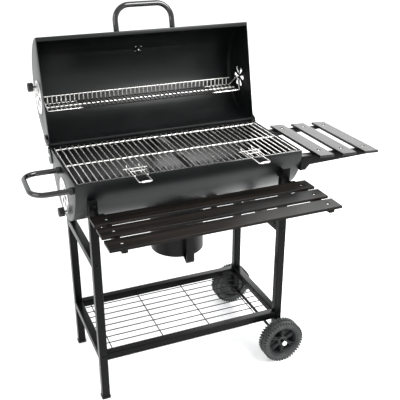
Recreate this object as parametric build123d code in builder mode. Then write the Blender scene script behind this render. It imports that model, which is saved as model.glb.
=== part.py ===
from build123d import *

import os
from math import cos, radians, sin, sqrt

# Half-drum charcoal grill on a wheeled cart, standing with its lid open.
#
# Everything is modelled around the drum: X runs along it, the front is -Y and
# the floor is Z = 0.  The lid pieces are drawn closed and then swung open about
# the hinge.  The last step moves the whole grill so that its origin is on the
# floor, in the middle of its own outline.

# ---------------------------------------------------------------- dimensions
SHEET = 1.5                  # drum, lid and bracket sheet
WELD_GAP = 0.05              # air left between two wires that are spot welded

DRUM_R = 165.0               # outside radius of bowl and lid
DRUM_HALF = 354.0            # half length of the rolled sheets
RIM_Z = 740.0                # top edge of the bowl
LID_GAP = 0.5                # air between the closed lid and the bowl
LID_Z = RIM_Z + LID_GAP
RIM_HEM = 6.0                # folded edge of the bowl, and of the lid at its hinge
LID_HEM = 12.0               # folded front edge of the lid
CAP_LIP = 10.0               # how far an end cap's lip reaches into the rolled sheet
LIP_GAP = 0.05               # air between a cap's lip and the sheet around it
CAP_OUT = DRUM_HALF + SHEET  # outside face of an end cap

HINGE_Y = 168.0
HINGE_Z = 741.0
LID_OPENING = 102.4          # degrees

VENT_DEPTH = 89.0            # lid vent centre to the rim
BOWL_VENT_DEPTH = 95.0
LID_VENT_Y = 17.0
VENT_PETALS = 6
PETAL_IN = 12.0              # centre of a petal's small end
PETAL_OUT = 29.0             # centre of its large end
PETAL_IN_R = 2.2
PETAL_OUT_R = 7.0
DAMPER_R = 54.0
KNOB_RADIUS_OUT = 48.0       # knob centre from the damper's centre
KNOB_R = 15.0
KNOB_LENGTH = 18.0
KNOB_STEM = 7.0
PIN_R = 3.0                  # damper rivets
RUNNING = 0.05               # radial clearance on a turning pin

TUBE = 25.0                  # square leg tube
TUBE_WALL = 1.5
LEG_Y = 159.5
LEFT_LEG_X = -311.0
RIGHT_LEG_X = 298.0
LEG_TOP = 660.0
LOW_RAIL_Z = 157.5
HIGH_RAIL_Z = 481.5
FOOT_H = 6.0
RIGHT_LEG_FOOT = 62.0        # the legs over the axle end above the floor

WHEEL_R = 75.0
WHEEL_W = 42.0
WHEEL_Y = 200.0              # middle of the tread
AXLE_R = 5.0
HUB_R = 57.0

SLAT_T = 8.0
FRONT_SLAT_TOP = 657.0
FRONT_SLAT_X0 = -331.0
FRONT_SLAT_X1 = 350.0
FRONT_SLAT_W = 58.0
FRONT_SLAT_Y = (-229.0, -303.0, -377.0)
SIDE_SLAT_TOP = 727.0
SIDE_SLAT_Y0 = -190.0
SIDE_SLAT_Y1 = 137.0
SIDE_SLAT_W = 52.0
SIDE_SLAT_X = (432.0, 516.0, 600.0)
SIDE_DROOP = 3.2             # degrees that the side shelf falls towards its outer end
ARM_T = 2.0
ARM_FLANGE = 16.0

GRATE_WIRE_R = 2.0
GRATE_RAIL_R = 3.0
GRATE_PITCH = 18.8
GRATE_TOP = RIM_Z
GRATE_FRONT = -152.0
GRATE_BACK = 154.0
GRATE_RAILS_Y = (-148.0, 3.0, 150.0)
GRATE_X_IN = 6.0
GRATE_X_OUT = 342.0

ASH_R = 86.0
ASH_TOP = 558.5
ASH_BOTTOM = 405.0
ASH_RIM_R = 95.0

MADE = {}


def finish(name, part):
    """Name a finished piece and keep it for export."""
    part.label = name
    MADE[name] = part


def hinge_axis():
    return Axis((0, HINGE_Y, HINGE_Z), (1, 0, 0))


def finish_on_lid(name, part):
    """The same, for a piece drawn on the closed lid."""
    finish(name, part.rotate(hinge_axis(), -LID_OPENING))


def opened(y, z):
    """Where a point of the closed lid lies once the lid is open."""
    turn = radians(-LID_OPENING)
    dy, dz = y - HINGE_Y, z - HINGE_Z
    return (HINGE_Y + dy * cos(turn) - dz * sin(turn),
            HINGE_Z + dy * sin(turn) + dz * cos(turn))


def along_x(x0, x1):
    """Plane for a profile in (Y, Z) at x0, and the length that reaches x1."""
    return Plane.YZ.offset(x0), x1 - x0


def along_y(y0, y1):
    """Plane for a profile in (X, Z) at y0, and the length that reaches y1."""
    return Plane(origin=(0, y0, 0), x_dir=(-1, 0, 0), z_dir=(0, 1, 0)), y1 - y0


def rod_between(start, end, radius):
    """A round bar between two points."""
    direction = Vector(*end) - Vector(*start)
    with BuildPart() as rod:
        with BuildSketch(Plane(origin=start, z_dir=direction)):
            Circle(radius)
        extrude(amount=direction.length)
    return rod.part


def square_tube(plane, length, places):
    """Square tubes standing on a plane, one at each (u, v) place."""
    with BuildPart() as tube:
        with BuildSketch(plane):
            with Locations(*places):
                RectangleRounded(TUBE, TUBE, 3)
                Rectangle(TUBE - 2 * TUBE_WALL, TUBE - 2 * TUBE_WALL, mode=Mode.SUBTRACT)
        extrude(amount=length)
    return tube.part


# ---------------------------------------------------------------- cart frame
for side, leg_x, foot_z in (("left", LEFT_LEG_X, FOOT_H), ("right", RIGHT_LEG_X, RIGHT_LEG_FOOT)):
    for end, leg_y in (("front", -LEG_Y), ("rear", LEG_Y)):
        leg = square_tube(Plane.XY.offset(foot_z), LEG_TOP - foot_z, [(leg_x, leg_y)])
        if side == "right":
            axle_bore = along_y(leg_y - TUBE, leg_y + TUBE)
            with BuildPart() as drilled:
                add(leg)
                with BuildSketch(axle_bore[0]):
                    with Locations((-leg_x, WHEEL_R)):
                        Circle(AXLE_R)
                extrude(amount=axle_bore[1], mode=Mode.SUBTRACT)
            leg = drilled.part
        finish(f"{side}_{end}_leg", leg)

with BuildPart() as feet:
    with BuildSketch():
        with Locations((LEFT_LEG_X, -LEG_Y), (LEFT_LEG_X, LEG_Y)):
            RectangleRounded(TUBE + 3, TUBE + 3, 4)
    extrude(amount=FOOT_H)
    with BuildSketch(Plane.XY.offset(FOOT_H)):
        with Locations((LEFT_LEG_X, -LEG_Y), (LEFT_LEG_X, LEG_Y)):
            Rectangle(TUBE - 2 * TUBE_WALL, TUBE - 2 * TUBE_WALL)
    extrude(amount=14)
finish("leg_feet", feet.part)

rail_plane, rail_length = along_x(LEFT_LEG_X + TUBE / 2, RIGHT_LEG_X - TUBE / 2)
finish("lower_long_rails", square_tube(
    rail_plane, rail_length, [(-LEG_Y, LOW_RAIL_Z), (LEG_Y, LOW_RAIL_Z)]))

cross_plane, cross_length = along_y(-LEG_Y + TUBE / 2, LEG_Y - TUBE / 2)
finish("cross_rails", square_tube(cross_plane, cross_length, [
    (-leg_x, height) for leg_x in (LEFT_LEG_X, RIGHT_LEG_X)
    for height in (LOW_RAIL_Z, HIGH_RAIL_Z)]))

# Each leg carries the bowl on a gusset that follows the drum, and a front tab
# through which it is bolted.
BRACKET_TOP = 692.0
GUSSET_LOW = 596.0
GUSSET_IN = 104.0
TAB_LOW = 632.0
TAB_BOLT_Z = 672.0
with BuildPart() as brackets:
    for leg_x in (LEFT_LEG_X, RIGHT_LEG_X):
        for toward in (-1, 1):
            with BuildSketch(Plane.YZ.offset(leg_x - TUBE / 2)):
                with BuildLine():
                    Polyline(
                        (toward * (LEG_Y + TUBE / 2 + SHEET), LEG_TOP),
                        (toward * (LEG_Y - TUBE / 2), LEG_TOP),
                        (toward * GUSSET_IN, GUSSET_LOW + 26),
                        (toward * GUSSET_IN, BRACKET_TOP),
                        (toward * (LEG_Y + TUBE / 2 + SHEET), BRACKET_TOP),
                        close=True)
                make_face()
            extrude(amount=SHEET * 2)
            with BuildSketch(Plane.YZ.offset(leg_x - TUBE / 2)):
                with Locations((toward * (LEG_Y + TUBE / 2 + SHEET), (BRACKET_TOP + TAB_LOW) / 2)):
                    Rectangle(2 * SHEET, BRACKET_TOP - TAB_LOW)
            extrude(amount=TUBE)
    with BuildSketch(Plane.YZ.offset(-DRUM_HALF)):
        with Locations((0, RIM_Z)):
            Circle(DRUM_R)
    extrude(amount=2 * DRUM_HALF, mode=Mode.SUBTRACT)
finish("leg_brackets", brackets.part)

AXLE_END = WHEEL_Y + WHEEL_W / 2 + 5
axle_plane, axle_length = along_y(-AXLE_END, AXLE_END)
with BuildPart() as axle:
    with BuildSketch(axle_plane):
        with Locations((-RIGHT_LEG_X, WHEEL_R)):
            Circle(AXLE_R)
    extrude(amount=axle_length)
finish("wheel_axle", axle.part)

with BuildPart() as axle_caps:
    for toward in (-1, 1):
        start = toward * (AXLE_END - 4)
        cap_plane, cap_length = along_y(start, toward * (AXLE_END + 3))
        with BuildSketch(cap_plane):
            with Locations((-RIGHT_LEG_X, WHEEL_R)):
                Circle(9)
        extrude(amount=cap_length)
    add(axle.part, mode=Mode.SUBTRACT)
finish("axle_caps", axle_caps.part)

BOLT_R = 4.8
BOLT_H = 2.6


def bolt_heads(plane, places, height=BOLT_H, radius=BOLT_R):
    """Low round bolt heads standing on a plane, as one group."""
    with BuildPart() as heads:
        with BuildSketch(plane):
            with Locations(*places):
                Circle(radius)
        extrude(amount=height, taper=25)
    return heads.part


front_face = Plane(origin=(0, -LEG_Y - TUBE / 2, 0), x_dir=(1, 0, 0), z_dir=(0, -1, 0))
rear_face = Plane(origin=(0, LEG_Y + TUBE / 2, 0), x_dir=(1, 0, 0), z_dir=(0, 1, 0))
tab_front = front_face.offset(2 * SHEET)
tab_rear = rear_face.offset(2 * SHEET)
joint_heights = (LOW_RAIL_Z, HIGH_RAIL_Z)
with BuildPart() as frame_bolts:
    for face in (front_face, rear_face):
        mirrored = 1 if face is front_face else -1
        add(bolt_heads(face, [
            (leg_x, mirrored * height)
            for leg_x in (LEFT_LEG_X, RIGHT_LEG_X) for height in joint_heights]))
    for face in (tab_front, tab_rear):
        mirrored = 1 if face is tab_front else -1
        add(bolt_heads(face, [
            (leg_x + 3, mirrored * TAB_BOLT_Z) for leg_x in (LEFT_LEG_X, RIGHT_LEG_X)]))
finish("frame_bolts", frame_bolts.part)

# Wire shelf: long wires over four cross wires whose bent ends are welded to the long rails.
SHELF_WIRE_R = 1.7
SHELF_Z = 150.0
SHELF_X0, SHELF_X1 = -294.0, 280.0
SHELF_CROSS_X = (-271.0, -100.0, 64.0, 233.0)
SHELF_PITCH = 32.0
SHELF_WIRES = 9
SHELF_END_UP = 15.0
SHELF_TURN_Y = LEG_Y - TUBE / 2 - SHELF_WIRE_R - WELD_GAP
with BuildPart() as wire_shelf:
    long_plane, long_length = along_x(SHELF_X0, SHELF_X1)
    with BuildSketch(long_plane):
        with Locations((0, SHELF_Z + 2 * SHELF_WIRE_R + WELD_GAP)):
            with GridLocations(SHELF_PITCH, 1, SHELF_WIRES, 1):
                Circle(SHELF_WIRE_R)
    extrude(amount=long_length)
    for cross_x in SHELF_CROSS_X:
        with BuildLine() as hook_line:
            FilletPolyline(
                (cross_x, -SHELF_TURN_Y, SHELF_Z + SHELF_END_UP),
                (cross_x, -SHELF_TURN_Y, SHELF_Z),
                (cross_x, SHELF_TURN_Y, SHELF_Z),
                (cross_x, SHELF_TURN_Y, SHELF_Z + SHELF_END_UP),
                radius=5)
        with BuildSketch(Plane(origin=hook_line.line @ 0, z_dir=hook_line.line % 0)):
            Circle(SHELF_WIRE_R)
        sweep(path=hook_line.line)
finish("wire_shelf", wire_shelf.part)

# ---------------------------------------------------------------- wheels
for name, toward in (("front_wheel", -1), ("rear_wheel", 1)):
    inner, outer = toward * (WHEEL_Y - WHEEL_W / 2), toward * (WHEEL_Y + WHEEL_W / 2)
    tyre_plane, tyre_length = along_y(inner, outer)
    with BuildPart() as tyre:
        with BuildSketch(tyre_plane):
            with Locations((-RIGHT_LEG_X, WHEEL_R)):
                Circle(WHEEL_R)
                Circle(HUB_R, mode=Mode.SUBTRACT)
        extrude(amount=tyre_length)
        outer_edges = tyre.edges().filter_by(GeomType.CIRCLE).sort_by(SortBy.RADIUS)[-2:]
        chamfer(outer_edges, length=5)
    finish(f"{name}_tyre", tyre.part)
    with BuildPart() as hub:
        with BuildSketch(tyre_plane):
            with Locations((-RIGHT_LEG_X, WHEEL_R)):
                Circle(HUB_R)
                Circle(48, mode=Mode.SUBTRACT)
                Circle(16)
                with PolarLocations(0, 6):
                    with Locations((32, 0)):
                        Rectangle(38, 9)
        extrude(amount=tyre_length)
        with BuildSketch(tyre_plane):
            with Locations((-RIGHT_LEG_X, WHEEL_R)):
                Circle(AXLE_R + RUNNING)
        extrude(amount=tyre_length, mode=Mode.SUBTRACT)
    finish(f"{name}_hub", hub.part)

# ---------------------------------------------------------------- bowl
HANDLE_HALF = GRATE_PITCH    # half width of a grate lifting handle
LEFT_HANDLE_X = -(GRATE_X_IN + 8.5 * GRATE_PITCH)
RIGHT_HANDLE_X = GRATE_X_IN + 10.5 * GRATE_PITCH
GRATE_HANDLE_X = (LEFT_HANDLE_X, RIGHT_HANDLE_X)
HANDLE_LEGS = [x + side * HANDLE_HALF for x in GRATE_HANDLE_X for side in (-1, 1)]
ASH_HOLE_R = 11.0
ASH_HOLE_RING = 48.0

drum_plane, drum_length = along_x(-DRUM_HALF, DRUM_HALF)


def half_drum(z0, upward, front_hem, back_hem):
    """Half a rolled tube with its two long edges folded inward."""
    with BuildPart() as shell:
        with BuildSketch(drum_plane):
            with Locations((0, z0)):
                Circle(DRUM_R)
                Circle(DRUM_R - SHEET, mode=Mode.SUBTRACT)
            with Locations((0, z0 - upward * DRUM_R)):
                Rectangle(4 * DRUM_R, 2 * DRUM_R, mode=Mode.SUBTRACT)
            for edge, hem in ((-1, front_hem), (1, back_hem)):
                middle = edge * (DRUM_R - SHEET / 2 - hem / 2)
                with Locations((middle, z0 + upward * SHEET / 2)):
                    Rectangle(hem - SHEET / 2, SHEET)
        extrude(amount=drum_length)
    return shell.part


with BuildPart() as bowl_shell:
    add(half_drum(RIM_Z, -1, RIM_HEM, RIM_HEM))
    # notches that let the lifting handles out under the closed lid
    with BuildSketch(Plane.XY.offset(RIM_Z - 6)):
        with Locations(*[(x, -DRUM_R + 5) for x in HANDLE_LEGS]):
            Rectangle(7, 24)
    extrude(amount=12, mode=Mode.SUBTRACT)
    # ash falls through a ring of holes into the can below
    with BuildSketch(Plane.XY.offset(RIM_Z - DRUM_R - 5)):
        Circle(ASH_HOLE_R)
        with PolarLocations(ASH_HOLE_RING, 6):
            Circle(ASH_HOLE_R)
    extrude(amount=20, mode=Mode.SUBTRACT)
finish("bowl_shell", bowl_shell.part)


# A bent strip along the rear rim closes the view between bowl and open lid.
LIP_OUT_Y = 180.0
LIP_DROP = 3.0               # the strip lies this far below the rim
LIP_HALF_X = DRUM_HALF - CAP_LIP - 1
with BuildPart() as rear_lip:
    lip_plane, lip_length = along_x(-LIP_HALF_X, LIP_HALF_X)
    with BuildSketch(lip_plane):
        with Locations(((DRUM_R + LIP_OUT_Y) / 2 - 0.5, RIM_Z - LIP_DROP)):
            Rectangle(LIP_OUT_Y - DRUM_R + 1, SHEET)
        with Locations((LIP_OUT_Y - SHEET / 2, RIM_Z - 1.6)):
            Rectangle(SHEET, 4.3)
        with Locations((0, RIM_Z)):
            Circle(DRUM_R, mode=Mode.SUBTRACT)
    extrude(amount=lip_length)
finish("rear_rim_lip", rear_lip.part)


with BuildSketch() as petal_sketch:
    with Locations((PETAL_IN, 0)):
        Circle(PETAL_IN_R)
    with Locations((PETAL_OUT, 0)):
        Circle(PETAL_OUT_R)
    make_hull()
PETAL = petal_sketch.sketch


def end_cap(side, z0, upward, vent_y=None, vent_turn=0.0, vent_depth=VENT_DEPTH):
    """A half-round end cap with a lip inside the rolled sheet, and its vent."""
    face_plane = Plane.YZ.offset(side * DRUM_HALF)
    with BuildPart() as cap:
        with BuildSketch(face_plane):
            with Locations((0, z0)):
                Circle(DRUM_R)
            with Locations((0, z0 - upward * DRUM_R)):
                Rectangle(4 * DRUM_R, 2 * DRUM_R, mode=Mode.SUBTRACT)
            if vent_y is not None:
                vent_z = z0 + upward * vent_depth
                with Locations((vent_y, vent_z)):
                    Circle(PIN_R, mode=Mode.SUBTRACT)
                    with PolarLocations(0, VENT_PETALS, start_angle=vent_turn):
                        add(PETAL, mode=Mode.SUBTRACT)
        extrude(amount=side * SHEET)
        with BuildSketch(face_plane):
            with Locations((0, z0)):
                Circle(DRUM_R - SHEET - LIP_GAP)
                Circle(DRUM_R - 2 * SHEET - LIP_GAP, mode=Mode.SUBTRACT)
            with Locations((0, z0 - upward * (DRUM_R - 2 * SHEET))):
                Rectangle(4 * DRUM_R, 2 * DRUM_R, mode=Mode.SUBTRACT)
        extrude(amount=-side * CAP_LIP)
    return cap.part


THERMO_ANGLE = 48.0
out_y, out_z = -cos(radians(THERMO_ANGLE)), sin(radians(THERMO_ANGLE))
DIAL_R = 26.0
DIAL_DEPTH = 14.0
THERMO_STEM_R = 4.0
THERMO_STEM_L = 14.5
DIAL_LIFT = 2.5              # the case stands this far off the lid
DIAL_FLOOR = 4.0             # thickness of the back of the case


def thermo_plane(radius):
    """Plane square to the lid at the thermometer, at a given drum radius."""
    return Plane(origin=(0, radius * out_y, LID_Z + radius * out_z),
                 x_dir=(1, 0, 0), z_dir=(0, out_y, out_z))


LID_PETAL_TURN = LID_OPENING     # a petal then points along Y on the open lid
finish("bowl_left_end", end_cap(-1, RIM_Z, -1, vent_y=0.0, vent_depth=BOWL_VENT_DEPTH))
finish("bowl_right_end", end_cap(1, RIM_Z, -1))
finish_on_lid("lid_left_end", end_cap(-1, LID_Z, 1, LID_VENT_Y, LID_PETAL_TURN))
finish_on_lid("lid_right_end", end_cap(1, LID_Z, 1, LID_VENT_Y, LID_PETAL_TURN))

with BuildPart() as lid_shell:
    add(half_drum(LID_Z, 1, LID_HEM, RIM_HEM))
    with BuildSketch(thermo_plane(DRUM_R + 5)):
        Circle(THERMO_STEM_R)
    extrude(amount=-15, mode=Mode.SUBTRACT)
finish_on_lid("lid_shell", lid_shell.part)

# ---------------------------------------------------------------- grates
LEDGE_TOP = GRATE_TOP - 2 * GRATE_WIRE_R - WELD_GAP - 2 * GRATE_RAIL_R
FIRE_TOP = 640.0
FIRE_WIRE_R = 2.5
FIRE_RAIL_R = 3.0
FIRE_PITCH = 24.0
FIRE_HALF_Y = 118.0
FIRE_LEDGE_TOP = FIRE_TOP - 2 * FIRE_WIRE_R - WELD_GAP - 2 * FIRE_RAIL_R
LEDGE_W = 14.0
with BuildPart() as ledges:
    for side in (-1, 1):
        for top, half in ((LEDGE_TOP, 152.0), (FIRE_LEDGE_TOP, 100.0)):
            with BuildSketch(Plane.YZ.offset(side * DRUM_HALF)):
                with Locations((0, top - SHEET / 2)):
                    Rectangle(2 * half, SHEET)
            extrude(amount=-side * LEDGE_W)
            with BuildSketch(Plane.YZ.offset(side * DRUM_HALF)):
                with Locations((0, top - SHEET - 5)):
                    Rectangle(2 * half - 20, 10)
            extrude(amount=-side * SHEET)
    with BuildSketch(Plane.YZ.offset(-LEDGE_W)):
        with Locations((0, LEDGE_TOP - 3)):
            Rectangle(2 * DRUM_R, 6)
        with Locations((0, RIM_Z)):
            Circle(DRUM_R - SHEET, mode=Mode.INTERSECT)
    extrude(amount=2 * LEDGE_W)
finish("grate_ledges", ledges.part)

# Coals lie on a grate low in the bowl.
with BuildPart() as fire_grate:
    fire_rails = along_x(-DRUM_HALF + 3, DRUM_HALF - 3)
    rail_z = FIRE_LEDGE_TOP + FIRE_RAIL_R
    with BuildSketch(fire_rails[0]):
        with Locations((-85, rail_z), (0, rail_z), (85, rail_z)):
            Circle(FIRE_RAIL_R)
    extrude(amount=fire_rails[1])
    fire_wires = along_y(-FIRE_HALF_Y, FIRE_HALF_Y)
    with BuildSketch(fire_wires[0]):
        with Locations((0, FIRE_TOP - FIRE_WIRE_R)):
            with GridLocations(FIRE_PITCH, 1, 29, 1):
                Circle(FIRE_WIRE_R)
    extrude(amount=fire_wires[1])
finish("charcoal_grate", fire_grate.part)

rail_z = LEDGE_TOP + GRATE_RAIL_R
wire_z = GRATE_TOP - GRATE_WIRE_R
wire_count = int((GRATE_X_OUT - GRATE_X_IN) / GRATE_PITCH) + 1
for side, name in ((-1, "left"), (1, "right")):
    with BuildPart() as grate:
        inner_x, outer_x = side * (GRATE_X_IN - 3), side * (GRATE_X_OUT + 3)
        with BuildSketch(Plane.YZ.offset(inner_x)):
            with Locations(*[(y, rail_z) for y in GRATE_RAILS_Y]):
                Circle(GRATE_RAIL_R)
        extrude(amount=outer_x - inner_x)
        wires = along_y(GRATE_FRONT, GRATE_BACK)
        first_x = side * GRATE_X_IN
        spots = [(-(first_x + side * i * GRATE_PITCH), wire_z) for i in range(wire_count)]
        with BuildSketch(wires[0]):
            with Locations(*spots):
                Circle(GRATE_WIRE_R)
        extrude(amount=wires[1])
    finish(f"{name}_cooking_grate", grate.part)

# Each grate is lifted by a wire loop that lies over the front rim.
HANDLE_OUT_Y = -207.0
HANDLE_IN_Y = -84.0
HANDLE_UP = 8.0
GRIP_R = 3.4
for centre_x, name in zip(GRATE_HANDLE_X, ("left", "right")):
    with BuildPart() as loop:
        low, high = centre_x - HANDLE_HALF, centre_x + HANDLE_HALF
        with BuildLine() as loop_line:
            FilletPolyline(
                (low, HANDLE_IN_Y, wire_z + HANDLE_UP),
                (low, HANDLE_IN_Y, wire_z),
                (low, HANDLE_OUT_Y, wire_z),
                (high, HANDLE_OUT_Y, wire_z),
                (high, HANDLE_IN_Y, wire_z),
                (high, HANDLE_IN_Y, wire_z + HANDLE_UP),
                radius=4.5)
        with BuildSketch(Plane(origin=loop_line.line @ 0, z_dir=loop_line.line % 0)):
            Circle(GRATE_WIRE_R)
        sweep(path=loop_line.line)
        grip = along_x(low + 6, high - 6)
        with BuildSketch(grip[0]):
            with Locations((HANDLE_OUT_Y, wire_z)):
                Circle(GRIP_R)
        extrude(amount=grip[1])
    with BuildPart() as crossbars:
        for bar_y, reach in ((-107.0, 18.0), (-130.0, 4.0)):
            bar = along_x(low - reach, high + reach)
            with BuildSketch(bar[0]):
                with Locations((bar_y, GRATE_TOP + WELD_GAP + 1.5)):
                    Circle(1.5)
            extrude(amount=bar[1])
    with BuildPart() as lifting_handle:
        add(loop.part)
        add(crossbars.part)
    finish(f"{name}_grate_handle", lifting_handle.part)

# ---------------------------------------------------------------- ash can
with BuildPart() as ash_can:
    with BuildSketch(Plane.XY.offset(ASH_BOTTOM)):
        Circle(ASH_R)
    extrude(amount=ASH_TOP - ASH_BOTTOM)
    with BuildSketch(Plane.XY.offset(ASH_BOTTOM + SHEET)):
        Circle(ASH_R - SHEET)
    extrude(amount=ASH_TOP - ASH_BOTTOM, mode=Mode.SUBTRACT)
    with BuildSketch(Plane.XY.offset(ASH_TOP - SHEET)):
        Circle(ASH_RIM_R)
        Circle(ASH_R - SHEET, mode=Mode.SUBTRACT)
    extrude(amount=SHEET)
finish("ash_can", ash_can.part)

RAIL_IN = ASH_R + 2.5
RAIL_OUT = ASH_RIM_R + 2.5
RAIL_REACH = 100.0
with BuildPart() as ash_rails:
    for side in (-1, 1):
        ash_plane, ash_length = along_y(-RAIL_REACH, RAIL_REACH)
        with BuildSketch(ash_plane):
            with Locations((side * (RAIL_OUT + SHEET / 2), 585)):
                Rectangle(SHEET, 62)
            with Locations((side * (RAIL_IN + RAIL_OUT) / 2, 554.75)):
                Rectangle(RAIL_OUT - RAIL_IN + 0.01, SHEET)
        extrude(amount=ash_length)
    with BuildSketch(drum_plane):
        with Locations((0, RIM_Z)):
            Circle(DRUM_R)
    extrude(amount=drum_length, mode=Mode.SUBTRACT)
finish("ash_can_rails", ash_rails.part)

STRAP = 25.0
STRAP_FLANGE = 4.0
STRAP_LINE = ((-84, 530), (-104, 530), (-120, 512), (-120, 405), (-112, 396), (-84, 412))
with BuildPart() as ash_handle:
    strap_plane, strap_length = along_x(-STRAP / 2, STRAP / 2)
    with BuildSketch(strap_plane):
        with BuildLine():
            Polyline(*STRAP_LINE)
            offset(amount=SHEET, side=Side.RIGHT)
        make_face()
        with Locations((-84, 469)):
            Rectangle(2, 122)
    extrude(amount=strap_length)
    for edge_x in (-STRAP / 2, STRAP / 2 - SHEET):
        with BuildSketch(Plane.YZ.offset(edge_x)):
            with BuildLine():
                Polyline(*STRAP_LINE)
                offset(amount=STRAP_FLANGE, side=Side.LEFT)
            make_face()
        extrude(amount=SHEET)
    with BuildSketch(Plane.XY.offset(ASH_BOTTOM)):
        Circle(ASH_R)
    extrude(amount=ASH_TOP - ASH_BOTTOM, mode=Mode.SUBTRACT)
finish("ash_can_handle", ash_handle.part)

# ---------------------------------------------------------------- handles
HANDLE_R = 8.0
SIDE_HANDLE_Z = 718.0
SIDE_HANDLE_FRONT = -146.0
SIDE_HANDLE_BACK = 20.0
SIDE_HANDLE_OUT = -470.0
FERRULE_R = 10.5
FERRULE_L = 14.0
with BuildPart() as side_handle:
    with BuildLine() as side_line:
        FilletPolyline(
            (-CAP_OUT, SIDE_HANDLE_FRONT, SIDE_HANDLE_Z),
            (SIDE_HANDLE_OUT, SIDE_HANDLE_FRONT, SIDE_HANDLE_Z),
            (SIDE_HANDLE_OUT, SIDE_HANDLE_BACK, SIDE_HANDLE_Z),
            (-CAP_OUT, SIDE_HANDLE_BACK, SIDE_HANDLE_Z),
            radius=42)
    with BuildSketch(Plane(origin=side_line.line @ 0, z_dir=side_line.line % 0)):
        Circle(HANDLE_R)
    sweep(path=side_line.line)
finish("side_handle", side_handle.part)

with BuildPart() as ferrules:
    with BuildSketch(Plane.YZ.offset(-CAP_OUT)):
        with Locations((SIDE_HANDLE_FRONT, SIDE_HANDLE_Z), (SIDE_HANDLE_BACK, SIDE_HANDLE_Z)):
            Circle(FERRULE_R)
            Circle(HANDLE_R, mode=Mode.SUBTRACT)
    extrude(amount=-FERRULE_L)
finish("side_handle_ferrules", ferrules.part)

LID_HANDLE_R = 9.0
LID_HANDLE_X = 95.0
LID_HANDLE_Z = LID_Z + 25.0
LID_HANDLE_OUT = -246.0
lid_wall = -sqrt(DRUM_R ** 2 - (LID_HANDLE_Z - LID_Z) ** 2)
with BuildPart() as lid_handle:
    with BuildLine() as lid_line:
        FilletPolyline(
            (-LID_HANDLE_X, lid_wall + 6, LID_HANDLE_Z),
            (-LID_HANDLE_X, LID_HANDLE_OUT, LID_HANDLE_Z),
            (LID_HANDLE_X, LID_HANDLE_OUT, LID_HANDLE_Z),
            (LID_HANDLE_X, lid_wall + 6, LID_HANDLE_Z),
            radius=48)
    with BuildSketch(Plane(origin=lid_line.line @ 0, z_dir=lid_line.line % 0)):
        Circle(LID_HANDLE_R)
    sweep(path=lid_line.line)
    with BuildSketch(drum_plane):
        with Locations((0, LID_Z)):
            Circle(DRUM_R)
    extrude(amount=drum_length, mode=Mode.SUBTRACT)
finish_on_lid("lid_handle", lid_handle.part)

with BuildPart() as handle_bolts:
    bolt_plane = Plane(origin=(0, lid_wall, 0), x_dir=(-1, 0, 0), z_dir=(0, 1, 0))
    with BuildSketch(bolt_plane):
        with Locations((-LID_HANDLE_X, LID_HANDLE_Z), (LID_HANDLE_X, LID_HANDLE_Z)):
            RegularPolygon(6, 6)
    extrude(amount=7)
    with BuildSketch(drum_plane):
        with Locations((0, LID_Z)):
            Circle(DRUM_R + 20)
            Circle(DRUM_R - SHEET, mode=Mode.SUBTRACT)
    extrude(amount=drum_length, mode=Mode.SUBTRACT)
finish_on_lid("lid_handle_bolts", handle_bolts.part)

# ---------------------------------------------------------------- hinges
HINGE_PIN_R = 2.5
LEAF_T = 2.5
BOWL_LEAF_X = CAP_OUT + 0.5          # inside face of the bowl's hinge leaf
LID_LEAF_X = BOWL_LEAF_X + LEAF_T + 0.4
STOP_Y = 198.0
with BuildPart() as bowl_leaves:
    for side in (-1, 1):
        with BuildSketch(Plane.YZ.offset(side * BOWL_LEAF_X)):
            with BuildLine():
                Polyline((146, 726), (160, 726), (160, HINGE_Z + 6), (177, HINGE_Z + 6),
                         (181, 735), (STOP_Y + 2, 735), (STOP_Y + 2, 690), (192, 683),
                         (168, 683), (146, 696), close=True)
            make_face()
            with Locations((HINGE_Y, HINGE_Z)):
                Circle(HINGE_PIN_R, mode=Mode.SUBTRACT)
        extrude(amount=side * LEAF_T)
        with BuildSketch(Plane.YZ.offset(side * CAP_OUT)):
            with Locations((150, 711)):
                Rectangle(8, 30)
        extrude(amount=side * 0.5)
        # the tab that the open lid comes to rest on
        with BuildSketch(Plane.YZ.offset(side * (CAP_OUT - 22))):
            with Locations((STOP_Y, 714)):
                Rectangle(4, 48)
        extrude(amount=side * 22.5)
finish("bowl_hinge_leaves", bowl_leaves.part)

with BuildPart() as lid_leaves:
    for side in (-1, 1):
        with BuildSketch(Plane.YZ.offset(side * LID_LEAF_X)):
            with BuildLine():
                Polyline((HINGE_Y - 7, HINGE_Z - 6), (HINGE_Y + 6, HINGE_Z - 6),
                         (HINGE_Y + 6, 760), (152, 796), (134, 796), (134, 770), close=True)
            make_face()
            with Locations((HINGE_Y, HINGE_Z)):
                Circle(HINGE_PIN_R + RUNNING, mode=Mode.SUBTRACT)
        extrude(amount=side * LEAF_T)
        with BuildSketch(Plane.YZ.offset(side * CAP_OUT)):
            with Locations((143, 780)):
                Rectangle(12, 20)
        extrude(amount=side * (LID_LEAF_X - CAP_OUT))
finish_on_lid("lid_hinge_leaves", lid_leaves.part)

with BuildPart() as hinge_pins:
    for side in (-1, 1):
        with BuildSketch(Plane.YZ.offset(side * BOWL_LEAF_X)):
            with Locations((HINGE_Y, HINGE_Z)):
                Circle(HINGE_PIN_R)
        extrude(amount=side * (2 * LEAF_T + 1.6))
        with BuildSketch(Plane.YZ.offset(side * (LID_LEAF_X + LEAF_T + 0.2))):
            with Locations((HINGE_Y, HINGE_Z)):
                Circle(5)
        extrude(amount=side * 2.5)
        with BuildSketch(Plane.YZ.offset(side * (BOWL_LEAF_X + LEAF_T))):
            with Locations((176, 712)):
                Circle(6)
        extrude(amount=side * 3, taper=20)
finish("hinge_pins", hinge_pins.part)

# ---------------------------------------------------------------- vents
DISC_T = 1.2


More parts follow.
